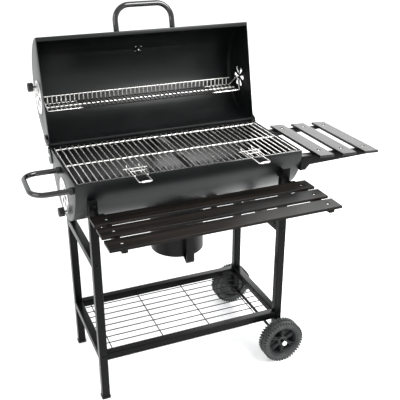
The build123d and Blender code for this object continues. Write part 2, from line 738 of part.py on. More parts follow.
def damper(side, centre_y, centre_z, turn, knob_angle):
    """A turning vent disc, and its knob on a short stem."""
    outside = Plane.YZ.offset(side * (CAP_OUT + 0.1))
    knob_y = centre_y + KNOB_RADIUS_OUT * cos(radians(knob_angle))
    knob_z = centre_z + KNOB_RADIUS_OUT * sin(radians(knob_angle))
    with BuildPart() as disc:
        with BuildSketch(outside):
            with Locations((centre_y, centre_z)):
                Circle(DAMPER_R)
                Circle(PIN_R + RUNNING, mode=Mode.SUBTRACT)
                with PolarLocations(0, VENT_PETALS, start_angle=turn):
                    add(PETAL, mode=Mode.SUBTRACT)
        extrude(amount=side * DISC_T)
    with BuildPart() as knob:
        with BuildSketch(outside.offset(side * DISC_T)):
            with Locations((knob_y, knob_z)):
                Circle(2.5)
        extrude(amount=side * (KNOB_STEM + 4))
        with BuildSketch(outside.offset(side * (DISC_T + KNOB_STEM))):
            with Locations((knob_y, knob_z)):
                RegularPolygon(KNOB_R, 8)
        extrude(amount=side * KNOB_LENGTH)
        rim = knob.edges().group_by(Axis.X)
        chamfer(rim[-1 if side > 0 else 0], length=2.5)
    return disc.part, knob.part


def rivet(side, centre_y, centre_z, inward):
    """The pin a damper turns on; on the lid its inner end carries the rack."""
    with BuildPart() as pin:
        with BuildSketch(Plane.YZ.offset(side * (CAP_OUT + DISC_T + 1.6))):
            with Locations((centre_y, centre_z)):
                Circle(PIN_R)
        extrude(amount=-side * (DISC_T + 1.6 + inward))
        with BuildSketch(Plane.YZ.offset(side * (CAP_OUT + DISC_T + 0.3))):
            with Locations((centre_y, centre_z)):
                Circle(6.5)
        extrude(amount=side * 2.2, taper=25)
        with BuildSketch(Plane.YZ.offset(side * (CAP_OUT - inward))):
            with Locations((centre_y, centre_z)):
                Circle(5.5)
        extrude(amount=-side * 2)
    return pin.part


PIN_INWARD = 13.0
LID_KNOB_TURN = 132.0            # degrees from the rear, on the closed lid
BOWL_KNOB_TURN = 245.0
lid_vent = (LID_VENT_Y, LID_Z + VENT_DEPTH)
bowl_vent = (0.0, RIM_Z - BOWL_VENT_DEPTH)
left_disc, left_knob = damper(-1, *lid_vent, LID_PETAL_TURN, LID_KNOB_TURN)
right_disc, right_knob = damper(1, *lid_vent, LID_PETAL_TURN, LID_KNOB_TURN)
bowl_disc, bowl_knob = damper(-1, *bowl_vent, 0, BOWL_KNOB_TURN)
finish_on_lid("lid_left_damper", left_disc)
finish_on_lid("lid_left_damper_knob", left_knob)
finish_on_lid("lid_right_damper", right_disc)
finish_on_lid("lid_right_damper_knob", right_knob)
finish("bowl_left_damper", bowl_disc)
finish("bowl_left_damper_knob", bowl_knob)
with BuildPart() as lid_rivets:
    add(rivet(-1, *lid_vent, PIN_INWARD))
    add(rivet(1, *lid_vent, PIN_INWARD))
finish_on_lid("lid_damper_rivets", lid_rivets.part)
finish("bowl_damper_rivet", rivet(-1, *bowl_vent, 4.0))

# ---------------------------------------------------------------- warming rack
# It hangs from the two lid rivets like a swing, so it stays level.
RACK_DROP = 38.0
RACK_HALF_Y = 42.0
RACK_HALF_X = 335.0
RACK_FENCE = 25.0
RACK_RAIL_R = 2.0
RACK_WIRE_R = 1.5
RACK_PITCH = 15.0
RACK_WIRES = 44
EYE_X = CAP_OUT - PIN_INWARD + 1.0
rack_y, rack_z = opened(*lid_vent)
tray_z = rack_z - RACK_DROP
front_y, back_y = rack_y - RACK_HALF_Y, rack_y + RACK_HALF_Y
with BuildPart() as rack:
    rack_rails = along_x(-RACK_HALF_X, RACK_HALF_X)
    with BuildSketch(rack_rails[0]):
        with Locations((front_y, tray_z), (rack_y, tray_z), (back_y, tray_z),
                       (back_y, tray_z + RACK_FENCE)):
            Circle(RACK_RAIL_R)
    extrude(amount=rack_rails[1])
    wire_level = tray_z + RACK_RAIL_R + WELD_GAP + RACK_WIRE_R
    tray_wires = along_y(front_y, back_y - RACK_RAIL_R - WELD_GAP - 2 * RACK_WIRE_R - 0.1)
    with BuildSketch(tray_wires[0]):
        with Locations((0, wire_level)):
            with GridLocations(RACK_PITCH, 1, RACK_WIRES, 1):
                Circle(RACK_WIRE_R)
    extrude(amount=tray_wires[1])
    with BuildSketch(Plane.XY.offset(tray_z)):
        with Locations((0, back_y - RACK_RAIL_R - WELD_GAP - RACK_WIRE_R)):
            with GridLocations(RACK_PITCH, 1, RACK_WIRES, 1):
                Circle(RACK_WIRE_R)
    extrude(amount=RACK_FENCE + 1)
with BuildPart() as rack_ends:
    for side in (-1, 1):
        with BuildSketch(Plane.YZ.offset(side * EYE_X)):
            with Locations((rack_y, rack_z)):
                Circle(PIN_R + 3)
                Circle(PIN_R + RUNNING, mode=Mode.SUBTRACT)
        extrude(amount=side * 3)
        middle_x = side * (EYE_X + 1.5)
        for toward in (-1, 1):
            add(rod_between(
                (middle_x, rack_y + toward * 4.2, rack_z - 4.2),
                (side * (RACK_HALF_X + 2.2), rack_y + toward * RACK_HALF_Y, tray_z), 1.5))
with BuildPart() as warming_rack:
    add(rack.part)
    add(rack_ends.part)
finish("warming_rack", warming_rack.part)

# ---------------------------------------------------------------- thermometer
with BuildPart() as dial_case:
    with BuildSketch(thermo_plane(DRUM_R + DIAL_LIFT)):
        Circle(DIAL_R)
    extrude(amount=DIAL_DEPTH)
    with BuildSketch(thermo_plane(DRUM_R + DIAL_LIFT + DIAL_FLOOR)):
        Circle(DIAL_R - 2)
    extrude(amount=DIAL_DEPTH, mode=Mode.SUBTRACT)
    with BuildSketch(thermo_plane(DRUM_R + DIAL_LIFT)):
        Circle(THERMO_STEM_R)
    extrude(amount=-THERMO_STEM_L)
finish_on_lid("thermometer_case", dial_case.part)

NUT_OUT = DRUM_R - SHEET - 0.8
with BuildPart() as dial_nut:
    with BuildSketch(thermo_plane(NUT_OUT - 2)):
        RegularPolygon(9, 6)
        Circle(THERMO_STEM_R, mode=Mode.SUBTRACT)
    extrude(amount=-6)
    with BuildSketch(thermo_plane(NUT_OUT)):
        Circle(15)
        Circle(THERMO_STEM_R, mode=Mode.SUBTRACT)
    extrude(amount=-2)
    with BuildSketch(thermo_plane(NUT_OUT - 2)):
        with PolarLocations(12, 4, start_angle=45):
            Circle(1.8)
    extrude(amount=-3)
finish_on_lid("thermometer_nut", dial_nut.part)

with BuildPart() as needle:
    with BuildSketch(thermo_plane(DRUM_R + DIAL_LIFT + DIAL_FLOOR + 0.5)):
        Circle(3)
        with Locations((7, 0)):
            Rectangle(16, 1.4)
        with Locations((-5, 0)):
            Rectangle(8, 2.2)
    extrude(amount=0.8)
finish_on_lid("thermometer_needle", needle.part)

# ---------------------------------------------------------------- front shelf
BOLT_SEAT_R = 6.2
BOLT_SEAT_DEPTH = 3.2


def slat_board(middle, length, width, top, bolt_places):
    """A shelf slat with softened top edges and a recess for each bolt head."""
    with BuildPart() as slat:
        with BuildSketch(Plane.XY.offset(top - SLAT_T)):
            with Locations(middle):
                RectangleRounded(length, width, 2)
        extrude(amount=SLAT_T)
        chamfer(slat.faces().sort_by(Axis.Z)[-1].edges(), length=1)
        with BuildSketch(Plane.XY.offset(top)):
            with Locations(*bolt_places):
                Circle(BOLT_SEAT_R)
        extrude(amount=-BOLT_SEAT_DEPTH, mode=Mode.SUBTRACT)
    return slat.part


front_arm_x = (LEFT_LEG_X + TUBE / 2, RIGHT_LEG_X + TUBE / 2)
front_bolt_x = [arm_x + ARM_FLANGE / 2 for arm_x in front_arm_x]
slat_mid = (FRONT_SLAT_X0 + FRONT_SLAT_X1) / 2
for number, slat_y in enumerate(FRONT_SLAT_Y, start=1):
    places = [(bolt_x, slat_y) for bolt_x in front_bolt_x]
    finish(f"front_slat_{number}", slat_board(
        (slat_mid, slat_y), FRONT_SLAT_X1 - FRONT_SLAT_X0, FRONT_SLAT_W, FRONT_SLAT_TOP, places))

ARM_TOP = FRONT_SLAT_TOP - SLAT_T
ARM_END = -402.0
ARM_TAB = 10.0
with BuildPart() as front_arms:
    for arm_x in front_arm_x:
        with BuildSketch(Plane.YZ.offset(arm_x)):
            with BuildLine():
                Polyline((-148, ARM_TOP), (-148, 600), (-176, 600), (-196, 622),
                         (ARM_END, ARM_TOP - ARM_TAB), (ARM_END, ARM_TOP), close=True)
            make_face()
        extrude(amount=ARM_T)
        with BuildSketch(Plane.YZ.offset(arm_x)):
            with Locations(((ARM_END - 176) / 2, ARM_TOP - ARM_T / 2)):
                Rectangle(-176 - ARM_END, ARM_T)
        extrude(amount=ARM_FLANGE)
        with BuildSketch(Plane.YZ.offset(arm_x)):
            with Locations((ARM_END + ARM_T / 2, ARM_TOP - ARM_TAB / 2)):
                Rectangle(ARM_T, ARM_TAB)
        extrude(amount=ARM_FLANGE)
    with BuildSketch(drum_plane):
        with Locations((0, RIM_Z)):
            Circle(DRUM_R)
    extrude(amount=drum_length, mode=Mode.SUBTRACT)
finish("front_shelf_arms", front_arms.part)

# ---------------------------------------------------------------- side shelf
SIDE_ARM_TOP = SIDE_SLAT_TOP - SLAT_T
SIDE_ARM_END = 624.0
SIDE_ARM_LOW = 672.0
SIDE_FLANGE = 30.0
SIDE_ARMS = ((-162.0, 1), (119.0, -1))     # outer face of each arm, and where its flange points
SIDE_BOLT_Y = (-139.0, 97.0)


def drooped(part):
    """Turns a part of the side shelf down about its upper edge at the bowl."""
    return part.rotate(Axis((CAP_OUT, 0, SIDE_SLAT_TOP), (0, 1, 0)), SIDE_DROOP)


slat_mid = (SIDE_SLAT_Y0 + SIDE_SLAT_Y1) / 2
for number, slat_x in enumerate(SIDE_SLAT_X, start=1):
    places = [(slat_x, bolt_y) for bolt_y in SIDE_BOLT_Y]
    finish(f"side_slat_{number}", drooped(slat_board(
        (slat_x, slat_mid), SIDE_SLAT_W, SIDE_SLAT_Y1 - SIDE_SLAT_Y0, SIDE_SLAT_TOP, places)))

with BuildPart() as level_arms:
    for arm_y, toward in SIDE_ARMS:
        with BuildSketch(Plane(origin=(0, arm_y, 0), x_dir=(toward, 0, 0), z_dir=(0, -toward, 0))):
            with BuildLine():
                Polyline(*[(toward * x, z) for x, z in (
                    (CAP_OUT, SIDE_ARM_TOP), (CAP_OUT, SIDE_ARM_LOW),
                    (CAP_OUT + 20, SIDE_ARM_LOW + 2), (CAP_OUT + 34, SIDE_ARM_LOW + 18),
                    (SIDE_ARM_END, SIDE_ARM_TOP - 10), (SIDE_ARM_END, SIDE_ARM_TOP))], close=True)
            make_face()
        extrude(amount=-ARM_T)
        with BuildSketch(Plane.XY.offset(SIDE_ARM_TOP)):
            with Locations(((CAP_OUT + SIDE_ARM_END) / 2, arm_y + toward * SIDE_FLANGE / 2)):
                Rectangle(SIDE_ARM_END - CAP_OUT, SIDE_FLANGE)
        extrude(amount=-ARM_T)
with BuildPart() as side_arms:
    add(drooped(level_arms.part))
    for arm_y, toward in SIDE_ARMS:
        with BuildSketch(Plane.YZ.offset(CAP_OUT)):
            with Locations((arm_y + toward * SIDE_FLANGE / 2, (SIDE_ARM_LOW + SIDE_ARM_TOP) / 2)):
                Rectangle(SIDE_FLANGE, SIDE_ARM_TOP - SIDE_ARM_LOW)
        extrude(amount=ARM_T)
    with BuildSketch(Plane.YZ.offset(CAP_OUT)):
        with Locations((0, SIDE_ARM_TOP)):
            Rectangle(4 * DRUM_R, 2 * DRUM_R)
    extrude(amount=-CAP_LIP, mode=Mode.SUBTRACT)
finish("side_shelf_arms", side_arms.part)

with BuildPart() as shelf_bolts:
    add(bolt_heads(Plane.XY.offset(FRONT_SLAT_TOP - BOLT_SEAT_DEPTH), [
        (bolt_x, slat_y) for bolt_x in front_bolt_x for slat_y in FRONT_SLAT_Y]))
    add(drooped(bolt_heads(Plane.XY.offset(SIDE_SLAT_TOP - BOLT_SEAT_DEPTH), [
        (slat_x, bolt_y) for slat_x in SIDE_SLAT_X for bolt_y in SIDE_BOLT_Y])))
finish("shelf_bolts", shelf_bolts.part)

# ---------------------------------------------------------------- export
boxes = [part.bounding_box() for part in MADE.values()]
low = [min(getattr(box.min, axis) for box in boxes) for axis in "XYZ"]
high = [max(getattr(box.max, axis) for box in boxes) for axis in "XYZ"]
shift = Location((-(low[0] + high[0]) / 2, -(low[1] + high[1]) / 2, 0))
print("size", [round(top - bottom, 2) for top, bottom in zip(high, low)], "lowest", low[2])
print("drum middle in the part's frame", shift.position)
os.makedirs("parts", exist_ok=True)
for name, part in MADE.items():
    placed = part.moved(shift)
    placed.label = name
    export_step(placed, f"parts/{name}.step")
print(len(MADE), "pieces written")
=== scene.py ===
# %% [markdown]
# # A barrel charcoal grill on a cart
# The grill is a drum of black enamelled sheet split into a bowl and a lid, on a frame of square
# tube with two slatted shelves, two wheels and a wire shelf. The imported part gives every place
# and size, so this lesson starts by opening it and measuring it, and nothing is fitted by eye.

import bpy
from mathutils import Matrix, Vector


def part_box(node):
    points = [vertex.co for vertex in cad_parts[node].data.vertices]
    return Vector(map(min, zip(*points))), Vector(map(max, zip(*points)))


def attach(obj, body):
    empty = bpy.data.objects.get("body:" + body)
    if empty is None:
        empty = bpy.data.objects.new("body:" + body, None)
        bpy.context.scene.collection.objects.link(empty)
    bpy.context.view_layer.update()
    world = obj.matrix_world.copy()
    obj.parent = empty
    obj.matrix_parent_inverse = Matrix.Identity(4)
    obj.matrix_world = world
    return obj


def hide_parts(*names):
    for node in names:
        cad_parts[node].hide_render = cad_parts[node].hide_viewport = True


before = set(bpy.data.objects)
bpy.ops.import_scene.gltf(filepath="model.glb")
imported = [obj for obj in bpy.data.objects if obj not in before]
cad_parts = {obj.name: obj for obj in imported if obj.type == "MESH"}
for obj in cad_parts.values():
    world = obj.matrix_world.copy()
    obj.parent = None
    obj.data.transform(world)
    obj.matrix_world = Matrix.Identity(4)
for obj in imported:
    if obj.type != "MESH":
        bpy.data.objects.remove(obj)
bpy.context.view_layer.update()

# %% Tools and units
import math

import bmesh
import bpy
from mathutils import Matrix, Vector

MM = 0.001
scene = bpy.context.scene
bowl_low, bowl_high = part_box("bowl_shell")
DRUM = (bowl_low + bowl_high) / 2       # middle of the bowl
print("drum middle", DRUM)

# %% [markdown]
# ## Camera
# A product view: the lens is long, it stands a little above the open lid and to the left, and it
# looks down, so the floor fills the whole background.

# %% Camera
FOCAL_LENGTH = 60.38        # millimetres, behind which the picture is 36 mm wide
CAMERA_LEFT = 0.6915        # metres to the left of the drum's middle
CAMERA_FRONT = 1.8357       # metres in front of it
CAMERA_HIGH = 1.4573        # metres above the floor
CAMERA_TILT = math.radians(65.553)      # upwards from straight down
CAMERA_TURN = math.radians(-22.865)     # to the right of straight back
lens = bpy.data.cameras.new("camera")
lens.sensor_width = 36.0
lens.lens = FOCAL_LENGTH
camera = bpy.data.objects.new("camera", lens)
scene.collection.objects.link(camera)
camera.location = (DRUM.x - CAMERA_LEFT, DRUM.y - CAMERA_FRONT, CAMERA_HIGH)
camera.rotation_euler = (CAMERA_TILT, 0.0, CAMERA_TURN)
scene.camera = camera
print("camera at", tuple(camera.location))

# %% [markdown]
# ## Studio
# Black enamel has almost no colour of its own: what is seen on it is the studio. A white floor and
# a pale sky give the soft grey at grazing angles, and large soft lamps draw the long highlights.
# The floor also glows faintly, which keeps the background white.

# %% Floor and sky
FLOOR_SIZE = 40.0
floor_mesh = bpy.data.meshes.new("floor")
corner = FLOOR_SIZE / 2
floor_mesh.from_pydata([(-corner, -corner, 0), (corner, -corner, 0), (corner, corner, 0),
                        (-corner, corner, 0)], [], [(0, 1, 2, 3)])
floor = bpy.data.objects.new("floor", floor_mesh)
scene.collection.objects.link(floor)
floor.location.z = -0.0005

sky = bpy.data.worlds.new("studio")
scene.world = sky
sky.use_nodes = True
sky.node_tree.nodes["Background"].inputs["Color"].default_value = (0.98, 0.99, 1.0, 1)
sky.node_tree.nodes["Background"].inputs["Strength"].default_value = 1.1
scene.view_settings.view_transform = "Standard"


def soft_lamp(name, place, aim, size, power):
    """A square soft lamp of some metres across that faces a point."""
    lamp = bpy.data.lights.new(name, "AREA")
    lamp.shape = "SQUARE"
    lamp.size = size
    lamp.energy = power
    holder = bpy.data.objects.new(name, lamp)
    scene.collection.objects.link(holder)
    holder.location = place
    facing = Vector(aim) - Vector(place)
    holder.rotation_euler = facing.to_track_quat("-Z", "Y").to_euler()
    print("lamp", name, power, "W")


soft_lamp("left_lamp", place=(-3.2, -1.0, 2.2), aim=(0, 0, 0.7), size=2.2, power=60)
soft_lamp("top_lamp", place=(1.0, -1.4, 2.6), aim=(0, 0.3, 0.9), size=1.4, power=100)
soft_lamp("back_lamp", place=(2.7, 3.4, 2.1), aim=(0, 0, 0.7), size=2.4, power=70)

# %% [markdown]
# ## Writing finishes as sums
# A finish is a web of nodes. Wiring each by hand hides the idea, so one small class wraps a
# socket: adding, multiplying or subtracting sockets adds the Math nodes, and any other node comes
# from one method that takes its type, its settings and what goes into its sockets.

# %% Sockets that can be added and multiplied
class Feed:
    """An output on its way into the next node. Arithmetic on it adds Math nodes."""

    def __init__(self, bench, socket):
        self.bench = bench
        self.socket = socket

    def math(self, operation, first, second=0.0, clamp=False):
        settings = {"operation": operation, "use_clamp": clamp}
        return self.bench.node("ShaderNodeMath", settings, {0: first, 1: second})

    def __add__(self, other):
        return self.math("ADD", self, other)

    def __sub__(self, other):
        return self.math("SUBTRACT", self, other)

    def __rsub__(self, other):
        return self.math("SUBTRACT", other, self)

    def __mul__(self, other):
        return self.math("MULTIPLY", self, other)

    def __truediv__(self, other):
        return self.math("DIVIDE", self, other)

    def sine(self):
        return self.math("SINE", self)

    def cosine(self):
        return self.math("COSINE", self)

    def clamp(self):
        return self.math("ADD", self, 0.0, clamp=True)


class Bench:
    """A node tree being built."""

    def __init__(self, tree):
        self.tree = tree

    def node(self, kind, settings=None, sockets=None, output=0):
        """Adds a node; settings go first, then values or links into its sockets."""
        made = self.tree.nodes.new(kind)
        for name, value in (settings or {}).items():
            if name == "stops":
                self.set_stops(made.color_ramp, value)
            else:
                setattr(made, name, value)
        for key, value in (sockets or {}).items():
            if isinstance(value, Feed):
                self.tree.links.new(value.socket, made.inputs[key])
            else:
                made.inputs[key].default_value = value
        return Feed(self, made.outputs[output])

    @staticmethod
    def set_stops(ramp, stops):
        while len(ramp.elements) < len(stops):
            ramp.elements.new(0.5)
        for element, (position, shade) in zip(ramp.elements, stops):
            element.position = position
            element.color = (shade, shade, shade, 1)

    def blend(self, factor, first, second):
        """One colour turning into another."""
        return self.node("ShaderNodeMix", {"data_type": "RGBA"},
                         {0: factor, 6: (*first, 1) if isinstance(first, tuple) else first,
                          7: (*second, 1) if isinstance(second, tuple) else second}, output=2)

    def noise(self, place, scale, detail=3.0, rough=0.5):
        return self.node("ShaderNodeTexNoise", None,
                         {"Vector": place, "Scale": scale, "Detail": detail, "Roughness": rough})

    def stretched(self, place, scale):
        """Coordinates squeezed by a different amount along each axis."""
        return self.node("ShaderNodeMapping", None, {"Vector": place, "Scale": scale})

    def ramp(self, value, low, high):
        """0 below low, 1 above high, and a smooth change between."""
        settings = {"interpolation_type": "SMOOTHSTEP"}
        return self.node("ShaderNodeMapRange", settings,
                         {"Value": value, "From Min": low, "From Max": high})


# %% A material to start from
def new_finish(name, metallic=0.0, ior=1.5, coat_rough=0.05, specular=0.5):
    """An empty material, its bench, its shader node and its object coordinates."""
    skin = bpy.data.materials.new(name)
    skin.use_nodes = True
    bench = Bench(skin.node_tree)
    shader = skin.node_tree.nodes["Principled BSDF"]
    shader.inputs["Metallic"].default_value = metallic
    shader.inputs["IOR"].default_value = ior
    shader.inputs["Coat Roughness"].default_value = coat_rough
    shader.inputs["Specular IOR Level"].default_value = specular
    place = bench.node("ShaderNodeTexCoord", output=3)
    return skin, bench, shader, place


def wire_up(bench, shader, **feeds):
    """Leads feeds into the shader's sockets; a plain number is set on the socket."""
    for label, value in feeds.items():
        socket = shader.inputs[label.replace("_", " ").title()]
        if isinstance(value, Feed):
            bench.tree.links.new(value.socket, socket)
        else:
            socket.default_value = value


def bumped(bench, height, distance, strength=1.0):
    return bench.node("ShaderNodeBump", None,
                      {"Height": height, "Distance": distance, "Strength": strength})


# %% [markdown]
# ## Enamel, powder coat and satin black
# All the sheet steel is black, but not the same black. The drum is glossy with the faint ripple
# that sprayed enamel has (orange peel), the frame is a duller powder coat, and the ash can is
# plainer still. One function makes all three: a broad noise moves the shade and the gloss, a fine
# one makes the ripple, and a thin film of dust lies on what faces up.

# %% Black coatings
def black_coating(name, shade, dust_shade, rough, ripple, coat, coat_rough, dust, specular):
    skin, bench, shader, place = new_finish(name, coat_rough=coat_rough, specular=specular)
    cloud = bench.noise(place, 9.0, 4.0)
    grit = bench.noise(place, 650.0, 2.0)
    peel = bench.noise(place, 260.0, 2.0)
    facing = bench.node("ShaderNodeSeparateXYZ", None,
                        {0: bench.node("ShaderNodeNewGeometry", output=1)}, output=2)
    film = bench.ramp(facing, 0.3, 1.0) * dust * cloud + bench.ramp(cloud, 0.45, 0.75) * dust * 0.4
    colour = bench.blend(film.clamp(), shade, dust_shade)
    gloss = cloud * 0.12 + grit * 0.05 + (rough - 0.08) + film * 0.3
    wire_up(bench, shader, base_color=colour, roughness=gloss, coat_weight=coat,
            normal=bumped(bench, peel * 0.8 + grit * 0.2, ripple))
    return skin


drum_enamel = black_coating("drum_enamel", (0.0020, 0.0026, 0.0028), (0.05, 0.052, 0.052),
                            0.36, 0.00006, 0.12, 0.40, dust=0.04, specular=0.26)
frame_powder = black_coating("frame_powder", (0.0022, 0.0024, 0.0023), (0.05, 0.05, 0.05),
                             0.28, 0.00005, 0.0, 0.25, dust=0.03, specular=0.10)
ash_satin = black_coating("ash_satin", (0.0022, 0.0022, 0.0024), (0.05, 0.05, 0.05),
                          0.34, 0.00005, 0.0, 0.3, dust=0.03, specular=0.12)
handle_black = black_coating("handle_black", (0.0016, 0.0016, 0.0016), (0.03, 0.03, 0.03),
                             0.12, 0.00002, 0.8, 0.04, dust=0.01, specular=0.3)
fire_black = black_coating("fire_black", (0.0040, 0.0040, 0.0040), (0.03, 0.03, 0.03),
                           0.42, 0.00008, 0.0, 0.3, dust=0.05, specular=0.20)
print("coatings made")

# %% [markdown]
# ## Bright metal
# The grates are nickel plated wire, the vent discs are brushed sheet, and the screws are zinc
# plated. What differs is the shade, how rough they are and how the scratches run. The nickel is a
# little less than fully metallic, so that thin wires stay bright. Some wires of the warming rack
# are painted dark between two places along the drum, which is painted shade.

# %% Bright metals
def bright_metal(name, shade, dull_shade, rough, grain=None, grain_depth=0.0, metallic=1.0):
    skin, bench, shader, place = new_finish(name, metallic=metallic)
    cloud = bench.noise(place, 35.0, 4.0, 0.6)
    spots = bench.noise(place, 480.0, 3.0, 0.6)
    colour = bench.blend(bench.ramp(cloud * 0.7 + spots * 0.3, 0.38, 0.68), shade, dull_shade)
    gloss = cloud * 0.16 + spots * 0.08 + (rough - 0.1)
    relief = spots
    if grain:
        scratches = bench.noise(bench.stretched(place, grain), 1.0, 3.0, 0.7)
        gloss = gloss + scratches * 0.18
        relief = scratches
    wire_up(bench, shader, base_color=colour, roughness=gloss,
            normal=bumped(bench, relief, grain_depth or 0.00002))
    return skin


grate_nickel = bright_metal("grate_nickel", (0.90, 0.89, 0.87), (0.64, 0.62, 0.60), 0.24,
                            metallic=0.85)
screw_zinc = bright_metal("screw_zinc", (0.84, 0.84, 0.83), (0.62, 0.61, 0.60), 0.20)
vent_steel = bright_metal("vent_steel", (0.80, 0.80, 0.79), (0.64, 0.63, 0.61), 0.26,
                          grain=(60, 40, 1500), grain_depth=0.00003)


def wire_with_painted_shade(name, start, end, across):
    """Plated wire with painted shade: dark between two places along the drum."""
    skin, bench, shader, place = new_finish(name, metallic=1.0)
    parts = bench.node("ShaderNodeSeparateXYZ", None, {0: place})
    spots = bench.noise(place, 300.0, 3.0, 0.6)
    along = parts + spots * 0.01
    # Painted shade: the colour goes dark between the two places along X
    painted_shade = bench.ramp(along, start, start + across) * (1.0 - bench.ramp(along, end - across, end))
    colour = bench.blend(painted_shade, (0.88, 0.87, 0.85), (0.020, 0.019, 0.018))
    wire_up(bench, shader, base_color=colour, roughness=painted_shade * 0.2 + spots * 0.1 + 0.2,
            normal=bumped(bench, spots, 0.00002))
    return skin


# Where the rack's wires are painted dark as shade, along the drum
PAINTED_SHADE_START = DRUM.x - 235 * MM
PAINTED_SHADE_END = DRUM.x + 255 * MM
PAINTED_SHADE_FADE = 20 * MM
rack_nickel = bright_metal("rack_nickel", (0.92, 0.91, 0.89), (0.68, 0.66, 0.63), 0.28,
                           metallic=0.8)
nickel_with_painted_shade = wire_with_painted_shade("nickel_with_painted_shade", PAINTED_SHADE_START, PAINTED_SHADE_END, PAINTED_SHADE_FADE)
print("metals made")

# %% [markdown]
# ## Stained slats, plastic and rubber
# The shelves are slats of wood stained almost black: the grain shows as faint brown streaks that
# run along each slat. The knobs and wheels are moulded plastic, with a fine matt texture.

# %% Wood and plastics
def stained_wood(name, along, specular, rough):
    skin, bench, shader, place = new_finish(name, coat_rough=0.3, specular=specular)
    squeeze = [55.0, 55.0, 55.0]
    squeeze[along] = 2.2
    fine_squeeze = [420.0, 420.0, 420.0]
    fine_squeeze[along] = 9.0
    warp = bench.noise(place, 6.0, 2.0)
    bands = bench.noise(bench.stretched(place, tuple(squeeze)), 1.0, 5.0, 0.55)
    pores = bench.noise(bench.stretched(place, tuple(fine_squeeze)), 1.0, 3.0, 0.6)
    grain = bands * 0.65 + pores * 0.35
    streak = bench.ramp(grain + warp * 0.15, 0.50, 0.72)
    colour = bench.blend(streak, (0.0026, 0.0025, 0.0024), (0.012, 0.0090, 0.0072))
    gloss = grain * 0.22 + rough
    wire_up(bench, shader, base_color=colour, roughness=gloss, coat_weight=0.0,
            normal=bumped(bench, pores * 0.6 + bands * 0.4, 0.00022))
    return skin


def moulded(name, shade, pale_shade, rough, depth=0.00005):
    skin, bench, shader, place = new_finish(name, specular=0.3)
    stipple = bench.noise(place, 900.0, 2.0)
    cloud = bench.noise(place, 30.0, 3.0)
    colour = bench.blend(bench.ramp(cloud, 0.35, 0.75) * 0.7 + stipple * 0.2, shade, pale_shade)
    wire_up(bench, shader, base_color=colour, roughness=cloud * 0.12 + stipple * 0.06 + rough,
            normal=bumped(bench, stipple, depth))
    return skin


slat_along_x = stained_wood("slat_along_x", 0, 0.10, 0.24)
slat_along_y = stained_wood("slat_along_y", 1, 0.40, 0.34)
knob_plastic = moulded("knob_plastic", (0.009, 0.009, 0.0095), (0.022, 0.022, 0.023), 0.26)
tyre_plastic = moulded("tyre_plastic", (0.030, 0.033, 0.033), (0.060, 0.064, 0.062), 0.46, 0.00008)
hub_plastic = moulded("hub_plastic", (0.016, 0.017, 0.018), (0.036, 0.037, 0.037), 0.36)
needle_paint = moulded("needle_red", (0.35, 0.012, 0.008), (0.42, 0.03, 0.02), 0.35)
dial_paint = moulded("dial_white", (0.72, 0.72, 0.70), (0.80, 0.80, 0.78), 0.40)
tick_paint = moulded("tick_black", (0.012, 0.012, 0.012), (0.02, 0.02, 0.02), 0.45)
floor_paint = moulded("floor_paint", (0.93, 0.93, 0.93), (0.96, 0.96, 0.96), 0.75, 0.00001)
FLOOR_GLOW = 0.15
floor_shader = floor_paint.node_tree.nodes["Principled BSDF"]
floor_shader.inputs["Emission Color"].default_value = (1.0, 1.0, 1.0, 1.0)
floor_shader.inputs["Emission Strength"].default_value = FLOOR_GLOW
floor_mesh.materials.append(floor_paint)
print("wood and plastics made")

# %% [markdown]
# ## Pieces
# Each piece is a plain mesh at the origin. It is joined to the body it moves with, it takes a
# material, and the nodes of the part that it stands for are hidden.

# %% Making a piece
SMOOTH_ANGLE = math.radians(32)


def triangles(mesh):
    return sum(len(face.vertices) - 2 for face in mesh.polygons)


def shade(mesh, angle=SMOOTH_ANGLE):
    """Smooth shading that stays crisp where the surface turns sharply."""
    mesh.shade_smooth()
    mesh.set_sharp_from_angle(angle=angle)


def piece(name, mesh, skin, body, nodes=()):
    """Puts a mesh in the scene as a piece that rides on a body."""
    made = bpy.data.objects.new(name, mesh)
    mesh.name = name
    scene.collection.objects.link(made)
    if skin is not None:
        mesh.materials.clear()
        mesh.materials.append(skin)
    shade(mesh)
    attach(made, body)
    if nodes:
        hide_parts(*nodes)
    print(f"{name}: {triangles(mesh)} triangles on {body}")
    return made


def evaluated(holder):
    """The mesh that an object's modifiers give, and the object itself removed."""
    bpy.context.view_layer.update()
    mesh = bpy.data.meshes.new_from_object(
        holder.evaluated_get(bpy.context.evaluated_depsgraph_get()))
    bpy.data.objects.remove(holder)
    return mesh


def joined(*meshes):
    """Several meshes as one; each keeps its own materials."""
    whole = bmesh.new()
    skins = []
    for mesh in meshes:
        first = len(skins)
        skins.extend(mesh.materials)
        before = len(whole.faces)
        whole.from_mesh(mesh)
        whole.faces.ensure_lookup_table()
        for face in whole.faces[before:]:
            face.material_index += first
    result = bpy.data.meshes.new("joined")
    whole.to_mesh(result)
    whole.free()
    for skin in skins:
        result.materials.append(skin)
    return result


# %% [markdown]
# ## Rounded edges on sheet and tube
# No real edge is perfectly sharp, and the bright line along an edge is what makes folded sheet
# and square tube look real. The part's own mesh is loose triangles, so a copy is merged, flat
# triangles are dissolved into whole faces, and a Bevel modifier rounds the sharp edges.

# %% Copies with rounded edges
def merged_copy(node):
    """A node's mesh as whole faces instead of loose triangles."""
    work = bmesh.new()
    work.from_mesh(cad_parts[node].data)
    bmesh.ops.remove_doubles(work, verts=work.verts, dist=0.00001)
    bmesh.ops.dissolve_limit(work, angle_limit=math.radians(0.4), verts=work.verts,
                             edges=work.edges)
    mesh = bpy.data.meshes.new(node)
    work.to_mesh(mesh)
    work.free()
    return mesh


